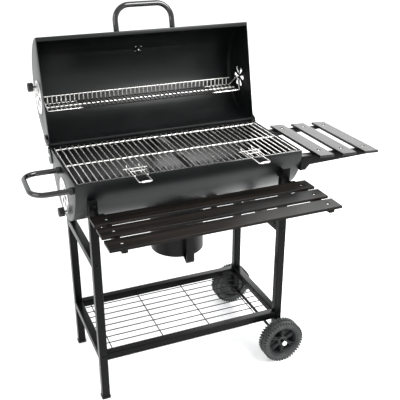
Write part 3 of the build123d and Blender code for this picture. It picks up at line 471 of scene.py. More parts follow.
def rounded(mesh, width, segments=2, angle=35.0):
    """The mesh with its sharp edges rounded by a live Bevel that is then applied."""
    holder = bpy.data.objects.new("rounded", mesh)
    scene.collection.objects.link(holder)
    bevel = holder.modifiers.new("round", "BEVEL")
    bevel.width = width
    bevel.segments = segments
    bevel.limit_method = "ANGLE"
    bevel.angle_limit = math.radians(angle)
    bevel.use_clamp_overlap = True
    return evaluated(holder)


def soften(name, node, width, skin, body, segments=2, angle=35.0):
    """A piece that is a node's own shape with its edges rounded."""
    return piece(name, rounded(merged_copy(node), width, segments, angle), skin, body, [node])


# %% Frame of square tube
for tube in ("left_front_leg", "left_rear_leg", "right_front_leg", "right_rear_leg",
             "lower_long_rails", "cross_rails"):
    soften(f"{tube}_tube", tube, 1.6 * MM, frame_powder, "cart", 3)
soften("leg_bracket_plates", "leg_brackets", 0.5 * MM, frame_powder, "cart")
soften("front_shelf_arm_plates", "front_shelf_arms", 0.5 * MM, frame_powder, "cart")
soften("side_shelf_arm_plates", "side_shelf_arms", 0.5 * MM, frame_powder, "cart")
soften("rubber_feet", "leg_feet", 1.2 * MM, knob_plastic, "cart", 3)

# %% Sheet metal of the drum
for cap in ("bowl_left_end", "bowl_right_end"):
    soften(f"{cap}_cap", cap, 0.6 * MM, drum_enamel, "cart", 3)
for cap in ("lid_left_end", "lid_right_end"):
    soften(f"{cap}_cap", cap, 0.6 * MM, drum_enamel, "lid", 3)
soften("bowl_sheet", "bowl_shell", 0.35 * MM, drum_enamel, "cart")
soften("lid_sheet", "lid_shell", 0.35 * MM, drum_enamel, "lid")
soften("grate_ledge_strips", "grate_ledges", 0.4 * MM, drum_enamel, "cart")
soften("bowl_hinge_plates", "bowl_hinge_leaves", 0.5 * MM, drum_enamel, "cart")
soften("lid_hinge_plates", "lid_hinge_leaves", 0.5 * MM, drum_enamel, "lid")

# %% [markdown]
# ## Rows of wire
# A grate is the same straight wire again and again, so Geometry Nodes make it: a line of points,
# one tube placed on each, then real mesh and its material. A second tree does the same with a
# wire that is bent first. Modifiers of the same object stack, so rails are one more row.

# %% Geometry trees with named inputs
def new_tree(name, inputs):
    """An empty geometry tree: its bench, and its inputs as feeds."""
    tree = bpy.data.node_groups.new(name, "GeometryNodeTree")
    tree.interface.new_socket("Geometry", in_out="INPUT", socket_type="NodeSocketGeometry")
    for label, kind in inputs.items():
        tree.interface.new_socket(label, in_out="INPUT", socket_type=f"NodeSocket{kind}")
    tree.interface.new_socket("Material", in_out="INPUT", socket_type="NodeSocketMaterial")
    tree.interface.new_socket("Geometry", in_out="OUTPUT", socket_type="NodeSocketGeometry")
    bench = Bench(tree)
    entry = tree.nodes.new("NodeGroupInput")
    given = {socket.name: Feed(bench, socket) for socket in entry.outputs if socket.name}
    return bench, given


def close_tree(bench, given, *made, keep=True):
    """Joins what came in with what was made, realizes it and sets the material."""
    join = bench.tree.nodes.new("GeometryNodeJoinGeometry")
    for part in (*made, given["Geometry"]) if keep else made:
        bench.tree.links.new(part.socket, join.inputs[0])
    real = bench.node("GeometryNodeRealizeInstances", None, {0: Feed(bench, join.outputs[0])})
    done = bench.node("GeometryNodeSetMaterial", None, {0: real, "Material": given["Material"]})
    leave = bench.tree.nodes.new("NodeGroupOutput")
    bench.tree.links.new(done.socket, leave.inputs[0])
    print("tree", bench.tree.name, len(bench.tree.nodes), "nodes")
    return bench.tree


def grow(steps, start=None):
    """Runs a stack of trees, each with its values, and returns the plain mesh."""
    holder = bpy.data.objects.new("grown", start or bpy.data.meshes.new("nothing"))
    scene.collection.objects.link(holder)
    for tree, values in steps:
        modifier = holder.modifiers.new(tree.name, "NODES")
        modifier.node_group = tree
        for item in tree.interface.items_tree:
            if item.in_out == "INPUT" and item.name in values:
                value = values[item.name]
                modifier[item.identifier] = tuple(value) if isinstance(value, Vector) else value
    return evaluated(holder)


def polyline(*points):
    """A mesh of edges through some points, for a tree to bend into wire."""
    mesh = bpy.data.meshes.new("line")
    mesh.from_pydata([tuple(point) for point in points],
                     [(i, i + 1) for i in range(len(points) - 1)], [])
    return mesh


def wire_tube(bench, given, line):
    """A curve made into wire with closed ends."""
    ring = bench.node("GeometryNodeCurvePrimitiveCircle", None,
                      {"Resolution": given["Sides"], "Radius": given["Radius"]})
    return bench.node("GeometryNodeCurveToMesh", None,
                      {"Curve": line, "Profile Curve": ring, "Fill Caps": True})


# %% Straight wires in a row
bench, given = new_tree("straight_wires", {"Count": "Int", "First": "Vector", "Step": "Vector",
                                           "Reach": "Vector", "Radius": "Float", "Sides": "Int"})
row = bench.node("GeometryNodeMeshLine", {"mode": "OFFSET"},
                 {"Count": given["Count"], "Start Location": given["First"],
                  "Offset": given["Step"]})
line = bench.node("GeometryNodeCurvePrimitiveLine", None, {"End": given["Reach"]})
tube = wire_tube(bench, given, line)
placed = bench.node("GeometryNodeInstanceOnPoints", None, {"Points": row, "Instance": tube})
straight_wires = close_tree(bench, given, placed)


def wire_row(count, radius, sides, skin, first, reach, step=(0, 0, 0)):
    """The tree of straight wires with its values, for grow."""
    return (straight_wires, {"Count": count, "Radius": radius, "Sides": sides, "Material": skin,
                             "First": Vector(first), "Reach": Vector(reach),
                             "Step": Vector(step)})


# %% Bent wires in a row
bench, given = new_tree("bent_wires", {"Count": "Int", "Step": "Vector", "Radius": "Float",
                                       "Sides": "Int", "Corner": "Float"})
line = bench.node("GeometryNodeMeshToCurve", None, {"Mesh": given["Geometry"]})
line = bench.node("GeometryNodeFilletCurve", {"mode": "POLY"},
                  {"Curve": line, "Count": 5, "Radius": given["Corner"], "Limit Radius": True})
tube = wire_tube(bench, given, line)
row = bench.node("GeometryNodeMeshLine", {"mode": "OFFSET"},
                 {"Count": given["Count"], "Offset": given["Step"]})
placed = bench.node("GeometryNodeInstanceOnPoints", None, {"Points": row, "Instance": tube})
bent_wires = close_tree(bench, given, placed, keep=False)


def bent(points, radius, corner, skin, count=1, step=(0.0, 0.0, 0.0), sides=12):
    """One bent wire, or a row of them."""
    return grow([(bent_wires, {"Count": count, "Step": Vector(step), "Radius": radius,
                               "Sides": sides, "Corner": corner, "Material": skin})],
                polyline(*points))


# %% [markdown]
# ## The cooking grates
# Two grates lie side by side on ledges at the rim. Each is a row of wires from front to back,
# welded on three rails, and each has a wire loop to lift it by, with a thicker grip that rests
# over the front rim. The loops curl up at their inner ends.

# %% Cooking grates
GRATE_WIRE = 1.7 * MM
GRATE_RAIL = 3.0 * MM
GRATE_PITCH = 18.8 * MM
GRATE_RAILS_Y = (-148 * MM, 3 * MM, 150 * MM)
GRATE_INSET = 3 * MM
for side, name in ((-1, "left"), (1, "right")):
    low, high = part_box(f"{name}_cooking_grate")
    inner, outer = (low.x, high.x) if side > 0 else (high.x, low.x)
    count = int((abs(outer - inner) - GRATE_INSET) / GRATE_PITCH) + 1
    steps = [wire_row(count, GRATE_WIRE, 10, grate_nickel,
                      (inner + side * GRATE_INSET, low.y, high.z - GRATE_WIRE),
                      (0, high.y - low.y, 0), (side * GRATE_PITCH, 0, 0))]
    for rail_y in GRATE_RAILS_Y:
        steps.append(wire_row(1, GRATE_RAIL, 12, grate_nickel,
                              (low.x, DRUM.y + rail_y, low.z + GRATE_RAIL),
                              (high.x - low.x, 0, 0)))
    piece(f"{name}_grate_wires", grow(steps), None, f"{name}_grate",
          [f"{name}_cooking_grate"])

# %% Lifting loops
GRIP = 3.4 * MM
LOOP_CORNER = 4.5 * MM
LOOP_LENGTH = 123 * MM
CURL = 7 * MM
BAR_WIRE = 1.5 * MM
BAR_GAP = 0.2 * MM
LOOP_BARS = ((-107 * MM, 18 * MM), (-130 * MM, 4 * MM))     # place along Y, reach past the loop
for name in ("left", "right"):
    low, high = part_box(f"{name}_grate_handle")
    centre = (low.x + high.x) / 2
    half = GRATE_PITCH
    level = low.z + GRIP
    back = low.y + GRIP + LOOP_LENGTH
    front = low.y + GRIP
    top = high.z - GRATE_WIRE * 0.5
    loop = bent([(centre - half, back, top), (centre - half, back, level),
                 (centre - half, front, level), (centre + half, front, level),
                 (centre + half, back, level), (centre + half, back, top)],
                GRATE_WIRE, LOOP_CORNER, grate_nickel)
    grip = bent([(centre - half + CURL, front, level), (centre + half - CURL, front, level)],
                GRIP, 0.0, grate_nickel, sides=16)
    bar_level = level + GRATE_WIRE + BAR_WIRE + BAR_GAP
    bars = []
    for bar_y, reach in LOOP_BARS:
        span = half + reach
        bars.append(bent([(centre - span, DRUM.y + bar_y, bar_level),
                          (centre + span, DRUM.y + bar_y, bar_level)],
                         BAR_WIRE, 0.0, grate_nickel, sides=10))
    piece(f"{name}_lifting_loop", joined(loop, grip, *bars), None, f"{name}_grate",
          [f"{name}_grate_handle"])

# %% Charcoal grate
low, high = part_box("charcoal_grate")
FIRE_WIRE = 2.0 * MM
FIRE_WIRES = 29
FIRE_PITCH = 24 * MM
FIRE_HALF_Y = 118 * MM
FIRE_RAIL_PITCH = 85 * MM
first_x = DRUM.x - (FIRE_WIRES - 1) / 2 * FIRE_PITCH
fire_wires = wire_row(FIRE_WIRES, FIRE_WIRE, 8, fire_black,
                      (first_x, DRUM.y - FIRE_HALF_Y, high.z - FIRE_WIRE),
                      (0, 2 * FIRE_HALF_Y, 0), (FIRE_PITCH, 0, 0))
fire_rails = wire_row(3, GRATE_RAIL, 8, fire_black,
                      (low.x, DRUM.y - FIRE_RAIL_PITCH, low.z + GRATE_RAIL),
                      (high.x - low.x, 0, 0), (0, FIRE_RAIL_PITCH, 0))
piece("charcoal_grate_wires", grow([fire_wires, fire_rails]), None, "cart",
      ["charcoal_grate"])

# %% [markdown]
# ## Wire shelf and warming rack
# The low shelf has thin long wires on four cross wires, whose ends turn up to be welded to the
# rails. The warming rack is a long tray that hangs from the two vent pins in the lid. Its tray
# wires turn up at the back and meet thicker uprights, which make a low fence. The tray wires and
# the two rails at their ends are painted dark in the middle as shade; the rest of the rack is
# bright.

# %% Wire shelf
low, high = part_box("wire_shelf")
SHELF_WIRE = 1.7 * MM
SHELF_WIRES = 9
SHELF_PITCH = 32 * MM
SHELF_CORNER = 5 * MM
SHELF_CROSS_X = (-271 * MM, -100 * MM, 64 * MM, 233 * MM)   # from the drum's middle
WELD_GAP = 0.05 * MM
first_y = DRUM.y - (SHELF_WIRES - 1) / 2 * SHELF_PITCH
long_wires = grow([wire_row(SHELF_WIRES, SHELF_WIRE, 10, frame_powder,
                            (low.x, first_y, low.z + 3 * SHELF_WIRE + WELD_GAP),
                            (high.x - low.x, 0, 0), (0, SHELF_PITCH, 0))])
level = low.z + SHELF_WIRE
cross_x = [DRUM.x + from_middle for from_middle in SHELF_CROSS_X]
cross_wires = [bent([(x, low.y + SHELF_WIRE, high.z), (x, low.y + SHELF_WIRE, level),
                     (x, high.y - SHELF_WIRE, level), (x, high.y - SHELF_WIRE, high.z)],
                    SHELF_WIRE, SHELF_CORNER, frame_powder) for x in cross_x]
piece("wire_shelf_wires", joined(long_wires, *cross_wires), None, "cart",
      ["wire_shelf"])

# %% Warming rack
low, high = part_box("warming_rack")
RACK_RAIL = 2.0 * MM
RACK_MIDDLE = 2.8 * MM
RACK_FENCE = 1.9 * MM
RACK_WIRE = 1.5 * MM
RACK_PITCH = 15 * MM
RACK_WIRES = 44
RACK_HALF_X = 335 * MM
RACK_OVERHANG = 0.5 * MM     # the tray wires reach this far past the front rail's middle
RACK_TURN_UP = 4 * MM        # from the rails to where the tray wires end
FENCE_HIGH = 25 * MM         # from the rails to the top rail
FENCE_OVER = 1 * MM          # the uprights end this far above the top rail
EYE_DROP = 6 * MM            # from the top of the rack to the middle of a hanger's eye
EYE_HALF_WIDE = 5 * MM
EYE_HALF_HIGH = 4 * MM
HANGER_GAP = 2 * MM          # beside the rails' ends
rail_level = low.z + RACK_RAIL
front_y = low.y + RACK_RAIL
back_y = high.y - RACK_RAIL
middle_y = (front_y + back_y) / 2
fence_top = rail_level + FENCE_HIGH
first_x = DRUM.x - (RACK_WIRES - 1) / 2 * RACK_PITCH
wire_level = rail_level + RACK_RAIL + RACK_WIRE
fence_y = back_y - RACK_RAIL - RACK_WIRE
step = (RACK_PITCH, 0, 0)
fence_foot = rail_level + RACK_TURN_UP
# The tray wires take the finish with painted shade in their middle
tray = bent([(first_x, front_y - RACK_OVERHANG, wire_level), (first_x, fence_y, wire_level),
             (first_x, fence_y, fence_foot)],
            RACK_WIRE, 3 * MM, nickel_with_painted_shade, RACK_WIRES, step, 8)
fence = bent([(first_x, fence_y, fence_foot), (first_x, fence_y, fence_top + FENCE_OVER)],
             RACK_FENCE, 0.0, rack_nickel, RACK_WIRES, step, 8)


def rack_rails(skin, *rails):
    """Straight rails along the rack in one finish, each with its place and its radius."""
    return grow([wire_row(1, radius, 12, skin, (DRUM.x - RACK_HALF_X, y, z),
                          (2 * RACK_HALF_X, 0, 0)) for y, z, radius in rails])


bright_rails = rack_rails(rack_nickel, (middle_y, rail_level, RACK_MIDDLE),
                          (back_y, fence_top, RACK_WIRE))
# The front and low back rails take the finish with painted shade in their middle
rails_with_painted_shade = rack_rails(nickel_with_painted_shade, (front_y, rail_level, RACK_RAIL),
                         (back_y, rail_level, RACK_WIRE))
hangers = []
for side in (-1, 1):
    eye_x = low.x + RACK_WIRE if side < 0 else high.x - RACK_WIRE
    foot_x = DRUM.x + side * (RACK_HALF_X + HANGER_GAP)
    eye_z = high.z - EYE_DROP
    hangers.append(bent([(foot_x, front_y, rail_level),
                         (eye_x, middle_y - EYE_HALF_WIDE, eye_z - EYE_HALF_HIGH),
                         (eye_x, middle_y, eye_z + EYE_HALF_HIGH),
                         (eye_x, middle_y + EYE_HALF_WIDE, eye_z - EYE_HALF_HIGH),
                         (foot_x, back_y, rail_level)], RACK_WIRE, 4 * MM, rack_nickel))
piece("warming_rack_wires", joined(tray, fence, bright_rails, rails_with_painted_shade, *hangers), None,
      "rack", ["warming_rack"])

# %% [markdown]
# ## Wheels
# The tyre is a turned drum with rows of lugs, which a tree sets round a ring: slanted ones in the
# middle of the tread and straight ones at its edges. The hub is turned too, and six ribbed spokes
# join its rim to a sunken boss.

# %% Turned shapes
def turned(profile, centre, toward, steps=96):
    """A closed outline of (radius, reach) turned about the wheel's axle, which lies along Y."""
    work = bmesh.new()
    rings = []
    for step in range(steps):
        angle = 2 * math.pi * step / steps
        rings.append([work.verts.new((centre.x + radius * math.cos(angle),
                                      centre.y + toward * reach,
                                      centre.z + radius * math.sin(angle)))
                      for radius, reach in profile])
    count = len(profile)
    for step in range(steps):
        here, there = rings[step], rings[(step + 1) % steps]
        for i in range(count):
            j = (i + 1) % count
            work.faces.new((here[i], here[j], there[j], there[i]))
    bmesh.ops.recalc_face_normals(work, faces=work.faces)
    mesh = bpy.data.meshes.new("turned")
    work.to_mesh(mesh)
    work.free()
    return mesh


# %% Things set round an axle
bench, given = new_tree("round_axle", {"Count": "Int", "Centre": "Vector", "Radius": "Float",
                                       "Size": "Vector", "Slant": "Float", "Phase": "Float"})
count = given["Count"]
points = bench.node("GeometryNodeMeshLine", {"mode": "OFFSET"},
                    {"Count": count, "Offset": (0.0, 0.0, 0.0)})
index = bench.node("GeometryNodeInputIndex")
angle = (index + given["Phase"]) * (2 * math.pi) / count
across = angle.cosine() * given["Radius"]
up = angle.sine() * given["Radius"]
spot = bench.node("ShaderNodeCombineXYZ", None, {0: across, 2: up})
spot = bench.node("ShaderNodeVectorMath", {"operation": "ADD"}, {0: spot, 1: given["Centre"]})
points = bench.node("GeometryNodeSetPosition", None, {"Geometry": points, "Position": spot})
lug = bench.node("GeometryNodeMeshCube", None, {"Size": given["Size"]})
lean = bench.node("ShaderNodeCombineXYZ", None, {0: given["Slant"]})
lug = bench.node("GeometryNodeTransform", None, {"Geometry": lug, "Rotation": lean})
spin = bench.node("ShaderNodeCombineXYZ", None, {1: 0.0 - angle})
placed = bench.node("GeometryNodeInstanceOnPoints", None,
                    {"Points": points, "Instance": lug, "Rotation": spin})
round_axle = close_tree(bench, given, placed)


def blocks(count, centre, radius, size, skin, slant=0.0, phase=0.0):
    """The tree of blocks round an axle with its values, for grow."""
    return (round_axle, {"Count": count, "Centre": Vector(centre), "Radius": radius,
                         "Size": Vector(size), "Slant": slant, "Phase": phase,
                         "Material": skin})


# %% Wheels
LUGS = 44
LUG_HIGH = 5.5 * MM
LUG_THICK = 4.6 * MM
LUG_SLANT = 0.62             # radians
EDGE_LUG_WIDE = 8.5 * MM
MIDDLE_LUG_WIDE = 15 * MM
WALL_R = 57.2 * MM           # inside of the tyre
RIM_R = 56.9 * MM            # outside of the hub
AXLE_HOLE_R = 5.1 * MM
DISH_FROM_R, DISH_TO_R = 14 * MM, 49 * MM
DISH_BACK, DISH_FRONT = 8 * MM, 10 * MM      # from the inner side of the wheel
SPOKES = 6
SPOKE_R = 32 * MM            # from the axle to the middle of a spoke
SPOKE_LONG = 36 * MM
for name, toward in (("front_wheel", -1), ("rear_wheel", 1)):
    low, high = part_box(f"{name}_tyre")
    centre = (low + high) / 2
    radius = (high.z - low.z) / 2
    half = (high.y - low.y) / 2
    floor_r = radius - LUG_HIGH
    outline = [(WALL_R, -half + 2 * MM), (WALL_R + 6 * MM, -half), (floor_r - 4 * MM, -half),
               (floor_r, -half + 4 * MM), (floor_r, half - 4 * MM),
               (floor_r - 3 * MM, half - 1 * MM), (floor_r - 5 * MM, half),
               (WALL_R + 7 * MM, half), (WALL_R + 6 * MM, half - 1.2 * MM),
               (WALL_R + 4.5 * MM, half - 1.2 * MM), (WALL_R + 3.5 * MM, half),
               (WALL_R + 1.5 * MM, half), (WALL_R, half - 2 * MM)]
    tyre = turned(outline, centre, toward)
    tyre.materials.append(tyre_plastic)
    rows = []
    lug_r = radius - LUG_HIGH / 2 - 0.6 * MM
    for shift, width, slant, phase in (
            (half - 4 * MM, EDGE_LUG_WIDE, 0.0, 0.0),
            (half * 0.42, MIDDLE_LUG_WIDE, LUG_SLANT, 0.25),
            (-half * 0.42, MIDDLE_LUG_WIDE, -LUG_SLANT, 0.75),
            (-half + 4 * MM, EDGE_LUG_WIDE, 0.0, 0.5)):
        rows.append(blocks(LUGS, centre + Vector((0, toward * shift, 0)), lug_r,
                           (LUG_HIGH, width, LUG_THICK), tyre_plastic, toward * slant, phase))
    shoulder = centre + Vector((0, toward * (half - 2.2 * MM), 0))
    rows.append(blocks(LUGS, shoulder, radius - 8.5 * MM, (9 * MM, 4.2 * MM, LUG_THICK),
                       tyre_plastic))
    lugs = rounded(grow(rows), 0.5 * MM, 1)
    piece(f"{name}_tread", joined(tyre, lugs), None, name, [f"{name}_tyre"])

    rim = turned([(48 * MM, -half), (RIM_R, -half + 1 * MM), (RIM_R, half - 2.5 * MM),
                  (54 * MM, half - 1.5 * MM), (52.5 * MM, half - 4 * MM), (50.5 * MM, half - 4 * MM),
                  (49.5 * MM, half - 6 * MM), (47 * MM, half - 16 * MM)], centre, toward)
    boss = turned([(AXLE_HOLE_R, -half), (16 * MM, -half), (17 * MM, half - 10 * MM),
                   (15 * MM, half - 7 * MM), (12.5 * MM, half - 7 * MM), (11 * MM, half - 12 * MM),
                   (AXLE_HOLE_R, half - 12 * MM)], centre, toward, 48)
    dish = turned([(DISH_FROM_R, -half + DISH_BACK), (DISH_TO_R, -half + DISH_BACK),
                   (DISH_TO_R, -half + DISH_FRONT), (DISH_FROM_R, -half + DISH_FRONT)],
                  centre, toward)
    for mesh in (rim, boss, dish):
        mesh.materials.append(hub_plastic)
    rib_level = centre + Vector((0, toward * (half - 15 * MM), 0))
    core_level = centre + Vector((0, toward * (half - 19 * MM), 0))
    ribs = [blocks(SPOKES, rib_level, SPOKE_R, (SPOKE_LONG, 12 * MM, 2.4 * MM), hub_plastic,
                   phase=offset + 0.5) for offset in (-0.09, 0.09)]
    ribs.append(blocks(SPOKES, core_level, SPOKE_R, (SPOKE_LONG, 8 * MM, 8 * MM), hub_plastic,
                       phase=0.5))
    spokes = rounded(grow(ribs), 0.6 * MM, 2)
    piece(f"{name}_centre", joined(rim, boss, dish, spokes), None, name,
          [f"{name}_hub"])

# %% Axle and its caps
soften("axle_rod", "wheel_axle", 0.5 * MM, frame_powder, "cart")
cap_low, cap_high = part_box("axle_caps")
cap_z = (cap_low.z + cap_high.z) / 2
cap_x = (cap_low.x + cap_high.x) / 2
caps = []
for toward, end_y in ((-1, cap_low.y), (1, cap_high.y)):
    seat = Vector((cap_x, end_y, cap_z))
    caps.append(turned([(2.4 * MM, -6.5 * MM), (9 * MM, -6.5 * MM), (9 * MM, -2 * MM),
                        (8 * MM, -0.6 * MM), (6 * MM, 0.0), (3.6 * MM, 0.0), (2.8 * MM, -1 * MM),
                        (2.4 * MM, -3 * MM)], seat, toward, 40))
piece("axle_end_caps", joined(*caps), screw_zinc, "cart", ["axle_caps"])

# %% [markdown]
# ## Handles
# The side handle and the lid handle are steel tube bent to a wide U and finished in gloss black.
# The side handle is drawn along its centre line, and a sleeve at each foot hides the weld. The lid
# handle is the part's own shape with its edges rounded.

# %% Tube handles
low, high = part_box("side_handle")
HANDLE_R = 8 * MM
HANDLE_BEND = 42 * MM
side_level = (low.z + high.z) / 2
grip_x = low.x + HANDLE_R
front_y = low.y + HANDLE_R
back_y = high.y - HANDLE_R
tube_line = [(high.x, front_y, side_level), (grip_x, front_y, side_level),
             (grip_x, back_y, side_level), (high.x, back_y, side_level)]
piece("side_handle_tube", bent(tube_line, HANDLE_R, HANDLE_BEND, handle_black, sides=28), None,
      "cart", ["side_handle"])
soften("side_handle_sleeves", "side_handle_ferrules", 1.5 * MM, knob_plastic, "cart",
       3)
soften("lid_handle_tube", "lid_handle", 0.3 * MM, handle_black, "lid")
soften("lid_handle_nuts", "lid_handle_bolts", 0.6 * MM, frame_powder, "lid")

# %% [markdown]
# ## Slatted shelves
# Three slats run along the front and three across the right end. Their edges are eased, and each
# bolt sits in a shallow recess, so a plate lies flat on them.

# %% Slats
SLAT_EDGE = 0.35 * MM


def flat_faces(made, least=0.0002):
    """Faces larger than this many square metres are shaded dead flat."""
    for face in made.data.polygons:
        if face.area > least:
            face.use_smooth = False


for number in (1, 2, 3):
    flat_faces(soften(f"front_board_{number}", f"front_slat_{number}", SLAT_EDGE, slat_along_x,
                      "cart", 3))
    flat_faces(soften(f"side_board_{number}", f"side_slat_{number}", SLAT_EDGE, slat_along_y,
                      "cart", 3))

# %% [markdown]
# ## Screws
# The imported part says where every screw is: each loose island of a screw node is one of them.
# The way each group faces is given, and a tree puts a domed head and a washer on each point.

# %% Where the screws are
def islands(node):
    """The corner pair of every separate lump in a node."""
    work = bmesh.new()
    work.from_mesh(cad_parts[node].data)
    bmesh.ops.remove_doubles(work, verts=work.verts, dist=0.00001)
    seen = set()
    found = []
    for seed in work.verts:
        if seed.index in seen:
            continue
        seen.add(seed.index)
        stack = [seed]
        lump = []
        while stack:
            vertex = stack.pop()
            lump.append(vertex.co.copy())
            for edge in vertex.link_edges:
                other = edge.other_vert(vertex)
                if other.index not in seen:
                    seen.add(other.index)
                    stack.append(other)
        found.append((Vector(min(p[i] for p in lump) for i in range(3)),
                      Vector(max(p[i] for p in lump) for i in range(3))))
    work.free()
    return found


# %% Domed screw heads
bench, given = new_tree("screw_heads", {"Radius": "Float", "Height": "Float", "Turn": "Vector"})
points = bench.node("GeometryNodeMeshToPoints", None, {"Mesh": given["Geometry"]})
dome = bench.node("GeometryNodeMeshUVSphere", None, {"Segments": 20, "Rings": 10, "Radius": 1.0})
stretch = bench.node("ShaderNodeCombineXYZ", None,
                     {0: given["Radius"], 1: given["Radius"], 2: given["Height"]})
dome = bench.node("GeometryNodeTransform", None, {"Geometry": dome, "Scale": stretch})
washer = bench.node("GeometryNodeMeshCylinder", None,
                    {"Vertices": 24, "Radius": given["Radius"] * 1.12,
                     "Depth": given["Height"] * 0.5})
both = bench.tree.nodes.new("GeometryNodeJoinGeometry")
bench.tree.links.new(dome.socket, both.inputs[0])
bench.tree.links.new(washer.socket, both.inputs[0])
placed = bench.node("GeometryNodeInstanceOnPoints", None,
                    {"Points": points, "Instance": Feed(bench, both.outputs[0]),
                     "Rotation": given["Turn"]})
screw_heads = close_tree(bench, given, placed, keep=False)


SCREW_R = 4.4 * MM
SCREW_HIGH = 2.0 * MM


def domes(seats, radius, high, turn, skin):
    """A domed head on each seat, all facing the same way."""
    mesh = bpy.data.meshes.new("seats")
    mesh.from_pydata([tuple(seat) for seat in seats], [], [])
    return grow([(screw_heads, {"Radius": radius, "Height": high, "Turn": Vector(turn),
                                "Material": skin})], mesh)


def heads(node, chosen, turn, lift, skin):
    """Screw heads on the islands of a node that are chosen."""
    seats = []
    for low, high in islands(node):
        if chosen(low, high):
            seats.append((low + high) / 2 + Vector(lift))
    print(node, len(seats), "heads")
    return domes(seats, SCREW_R, SCREW_HIGH, turn, skin)


SHELF_END_X = DRUM.x + 356 * MM      # the side shelf begins past this
DROOP = math.radians(3.2)            # how far the side shelf leans down
SCREW_SINK = 0.9 * MM
FRAME_SCREW_SHIFT = 0.6 * MM
flat_heads = heads("shelf_bolts", lambda low, high: high.x < SHELF_END_X, (0, 0, 0),
                   (0, 0, -SCREW_SINK), screw_zinc)
tilted_heads = heads("shelf_bolts", lambda low, high: high.x > SHELF_END_X, (0, DROOP, 0),
                     (0, 0, -SCREW_SINK), screw_zinc)
piece("shelf_screws", joined(flat_heads, tilted_heads), None, "cart",
      ["shelf_bolts"])
front_heads = heads("frame_bolts", lambda low, high: high.y < DRUM.y, (math.pi / 2, 0, 0),
                    (0, FRAME_SCREW_SHIFT, 0), frame_powder)
rear_heads = heads("frame_bolts", lambda low, high: high.y > DRUM.y, (math.pi / 2, 0, 0),
                   (0, -FRAME_SCREW_SHIFT, 0), frame_powder)
piece("frame_screws", joined(front_heads, rear_heads), None, "cart",
      ["frame_bolts"])

# %% Hinge screws, rivets and nuts
soften("hinge_screws", "hinge_pins", 0.6 * MM, screw_zinc, "cart", 3)
soften("lid_vent_rivets", "lid_damper_rivets", 0.5 * MM, screw_zinc, "lid")
soften("bowl_vent_rivet", "bowl_damper_rivet", 0.5 * MM, screw_zinc, "cart")

# %% [markdown]
# ## Vents
# A bright disc with six petals turns over six petals cut in the end cap. Each disc is turned by a
# faceted black knob on a short stem, which is moulded plastic.

# %% Vent discs and knobs
for vent, body in (("lid_left_damper", "lid_left_vent"), ("lid_right_damper", "lid_right_vent"),
                   ("bowl_left_damper", "bowl_vent")):
    soften(f"{vent}_disc", vent, 0.3 * MM, vent_steel, body)
    soften(f"{vent}_grip", f"{vent}_knob", 1.3 * MM, knob_plastic, body, 3)

# %% [markdown]
# ## Thermometer
# The dial sits on the outside of the lid. Its middle and the way it faces come from two nodes on
# its axis: the case outside and the nut inside. The dial is drawn facing along Y and then moved.

# %% Dial case, face, ticks and needle
def middle_of(node):
    low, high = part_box(node)
    return (low + high) / 2


def reach_along(node, origin, axis):
    """How far a node's points lie along an axis: the least and the most."""
    reaches = [(vertex.co - origin).dot(axis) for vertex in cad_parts[node].data.vertices]
    return min(reaches), max(reaches)


dial_origin = middle_of("thermometer_nut")
dial_axis = (middle_of("thermometer_case") - dial_origin).normalized()
needle_low = reach_along("thermometer_needle", dial_origin, dial_axis)[0]
NEEDLE_GAP = 0.15 * MM
DIAL_R = 23.5 * MM
DIAL_THICK = 0.3 * MM
DIAL_HOLE_R = 0.3 * MM
face_level = needle_low - NEEDLE_GAP
origin = Vector((0, 0, 0))
face = turned([(DIAL_HOLE_R, 0.0), (DIAL_R, 0.0), (DIAL_R, -DIAL_THICK),
               (DIAL_HOLE_R, -DIAL_THICK)], origin, 1, 64)
face.materials.append(dial_paint)
ticks = grow([blocks(40, origin, DIAL_R - 3 * MM, (2.4 * MM, 0.1 * MM, 0.5 * MM), tick_paint),
              blocks(10, origin, DIAL_R - 4 * MM, (4.6 * MM, 0.12 * MM, 0.9 * MM), tick_paint)])
dial = joined(face, ticks)
stand = Vector((0, 1, 0)).rotation_difference(dial_axis).to_matrix().to_4x4()
dial.transform(Matrix.Translation(dial_origin + dial_axis * face_level) @ stand)
piece("thermometer_dial", dial, None, "lid")
soften("thermometer_bezel", "thermometer_case", 0.8 * MM, screw_zinc, "lid", 3)
soften("thermometer_fixing", "thermometer_nut", 0.4 * MM, drum_enamel, "lid")
nut_low, nut_high = reach_along("thermometer_nut", dial_origin, dial_axis)
aside = Vector((1, 0, 0))
across = dial_axis.cross(aside)
FIXING_RING_R = 13 * MM      # four small screws round the nut
MIDDLE_DOT = 0.8 * MM        # its place past the inner end of the nut
RING_DOTS = 3.4 * MM         # their place inwards from the nut's outer end
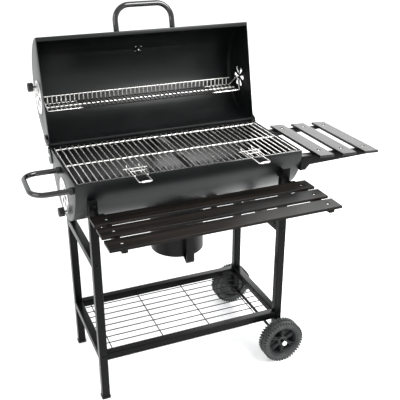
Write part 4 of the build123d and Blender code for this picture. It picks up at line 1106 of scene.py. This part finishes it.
seats = [dial_origin + dial_axis * (nut_low + MIDDLE_DOT)]
for step in range(4):
    angle = math.radians(45 + 90 * step)
    seats.append(dial_origin + dial_axis * (nut_high - RING_DOTS)
                 + (aside * math.cos(angle) + across * math.sin(angle)) * FIXING_RING_R)
facing = Vector((0, 0, 1)).rotation_difference(-dial_axis).to_euler()
dots = domes(seats, radius=2.6 * MM, high=1.6 * MM, turn=facing, skin=screw_zinc)
piece("thermometer_screws", dots, None, "lid")
soften("thermometer_pointer", "thermometer_needle", 0.15 * MM, needle_paint, "dial_needle")

# %% [markdown]
# ## Ash can
# A deep pan hangs on two rails under the bowl and is pulled out by a strap handle at the front.

# %% Ash can and rails
soften("ash_pan", "ash_can", 0.5 * MM, ash_satin, "ash_drawer", 3)
soften("ash_pan_strap", "ash_can_handle", 0.45 * MM, ash_satin, "ash_drawer")
soften("ash_pan_rails", "ash_can_rails", 0.4 * MM, ash_satin, "cart")
soften("rear_rim_strip", "rear_rim_lip", 0.4 * MM, drum_enamel, "cart")

# %% [markdown]
# ## Tool hooks
# Two small wire hooks hang under the front slat, one near each shelf arm.

# %% Tool hooks
HOOK_WIRE = 1.3 * MM
HOOK_BEND = 3 * MM
HOOK_SHANK = 6 * MM          # along the slat, towards the drum
HOOK_DROP = 17 * MM
HOOK_WIDE = 7 * MM
HOOK_TIP = 9 * MM            # how far the tip is below the slat
HOOK_X = {"left": -290 * MM, "right": 318 * MM}      # from the drum's middle
hook_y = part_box("front_shelf_arms")[0].y + 8 * MM
tip_y = hook_y - HOOK_WIDE
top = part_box("front_slat_3")[0].z - 2.2 * MM
for name, from_middle in HOOK_X.items():
    hook_x = DRUM.x + from_middle
    hook = bent([(hook_x, hook_y + HOOK_SHANK, top), (hook_x, hook_y, top),
                 (hook_x, hook_y, top - HOOK_DROP), (hook_x, tip_y, top - HOOK_DROP),
                 (hook_x, tip_y, top - HOOK_TIP)], HOOK_WIRE, HOOK_BEND, screw_zinc)
    piece(f"{name}_tool_hook", hook, None, "cart")
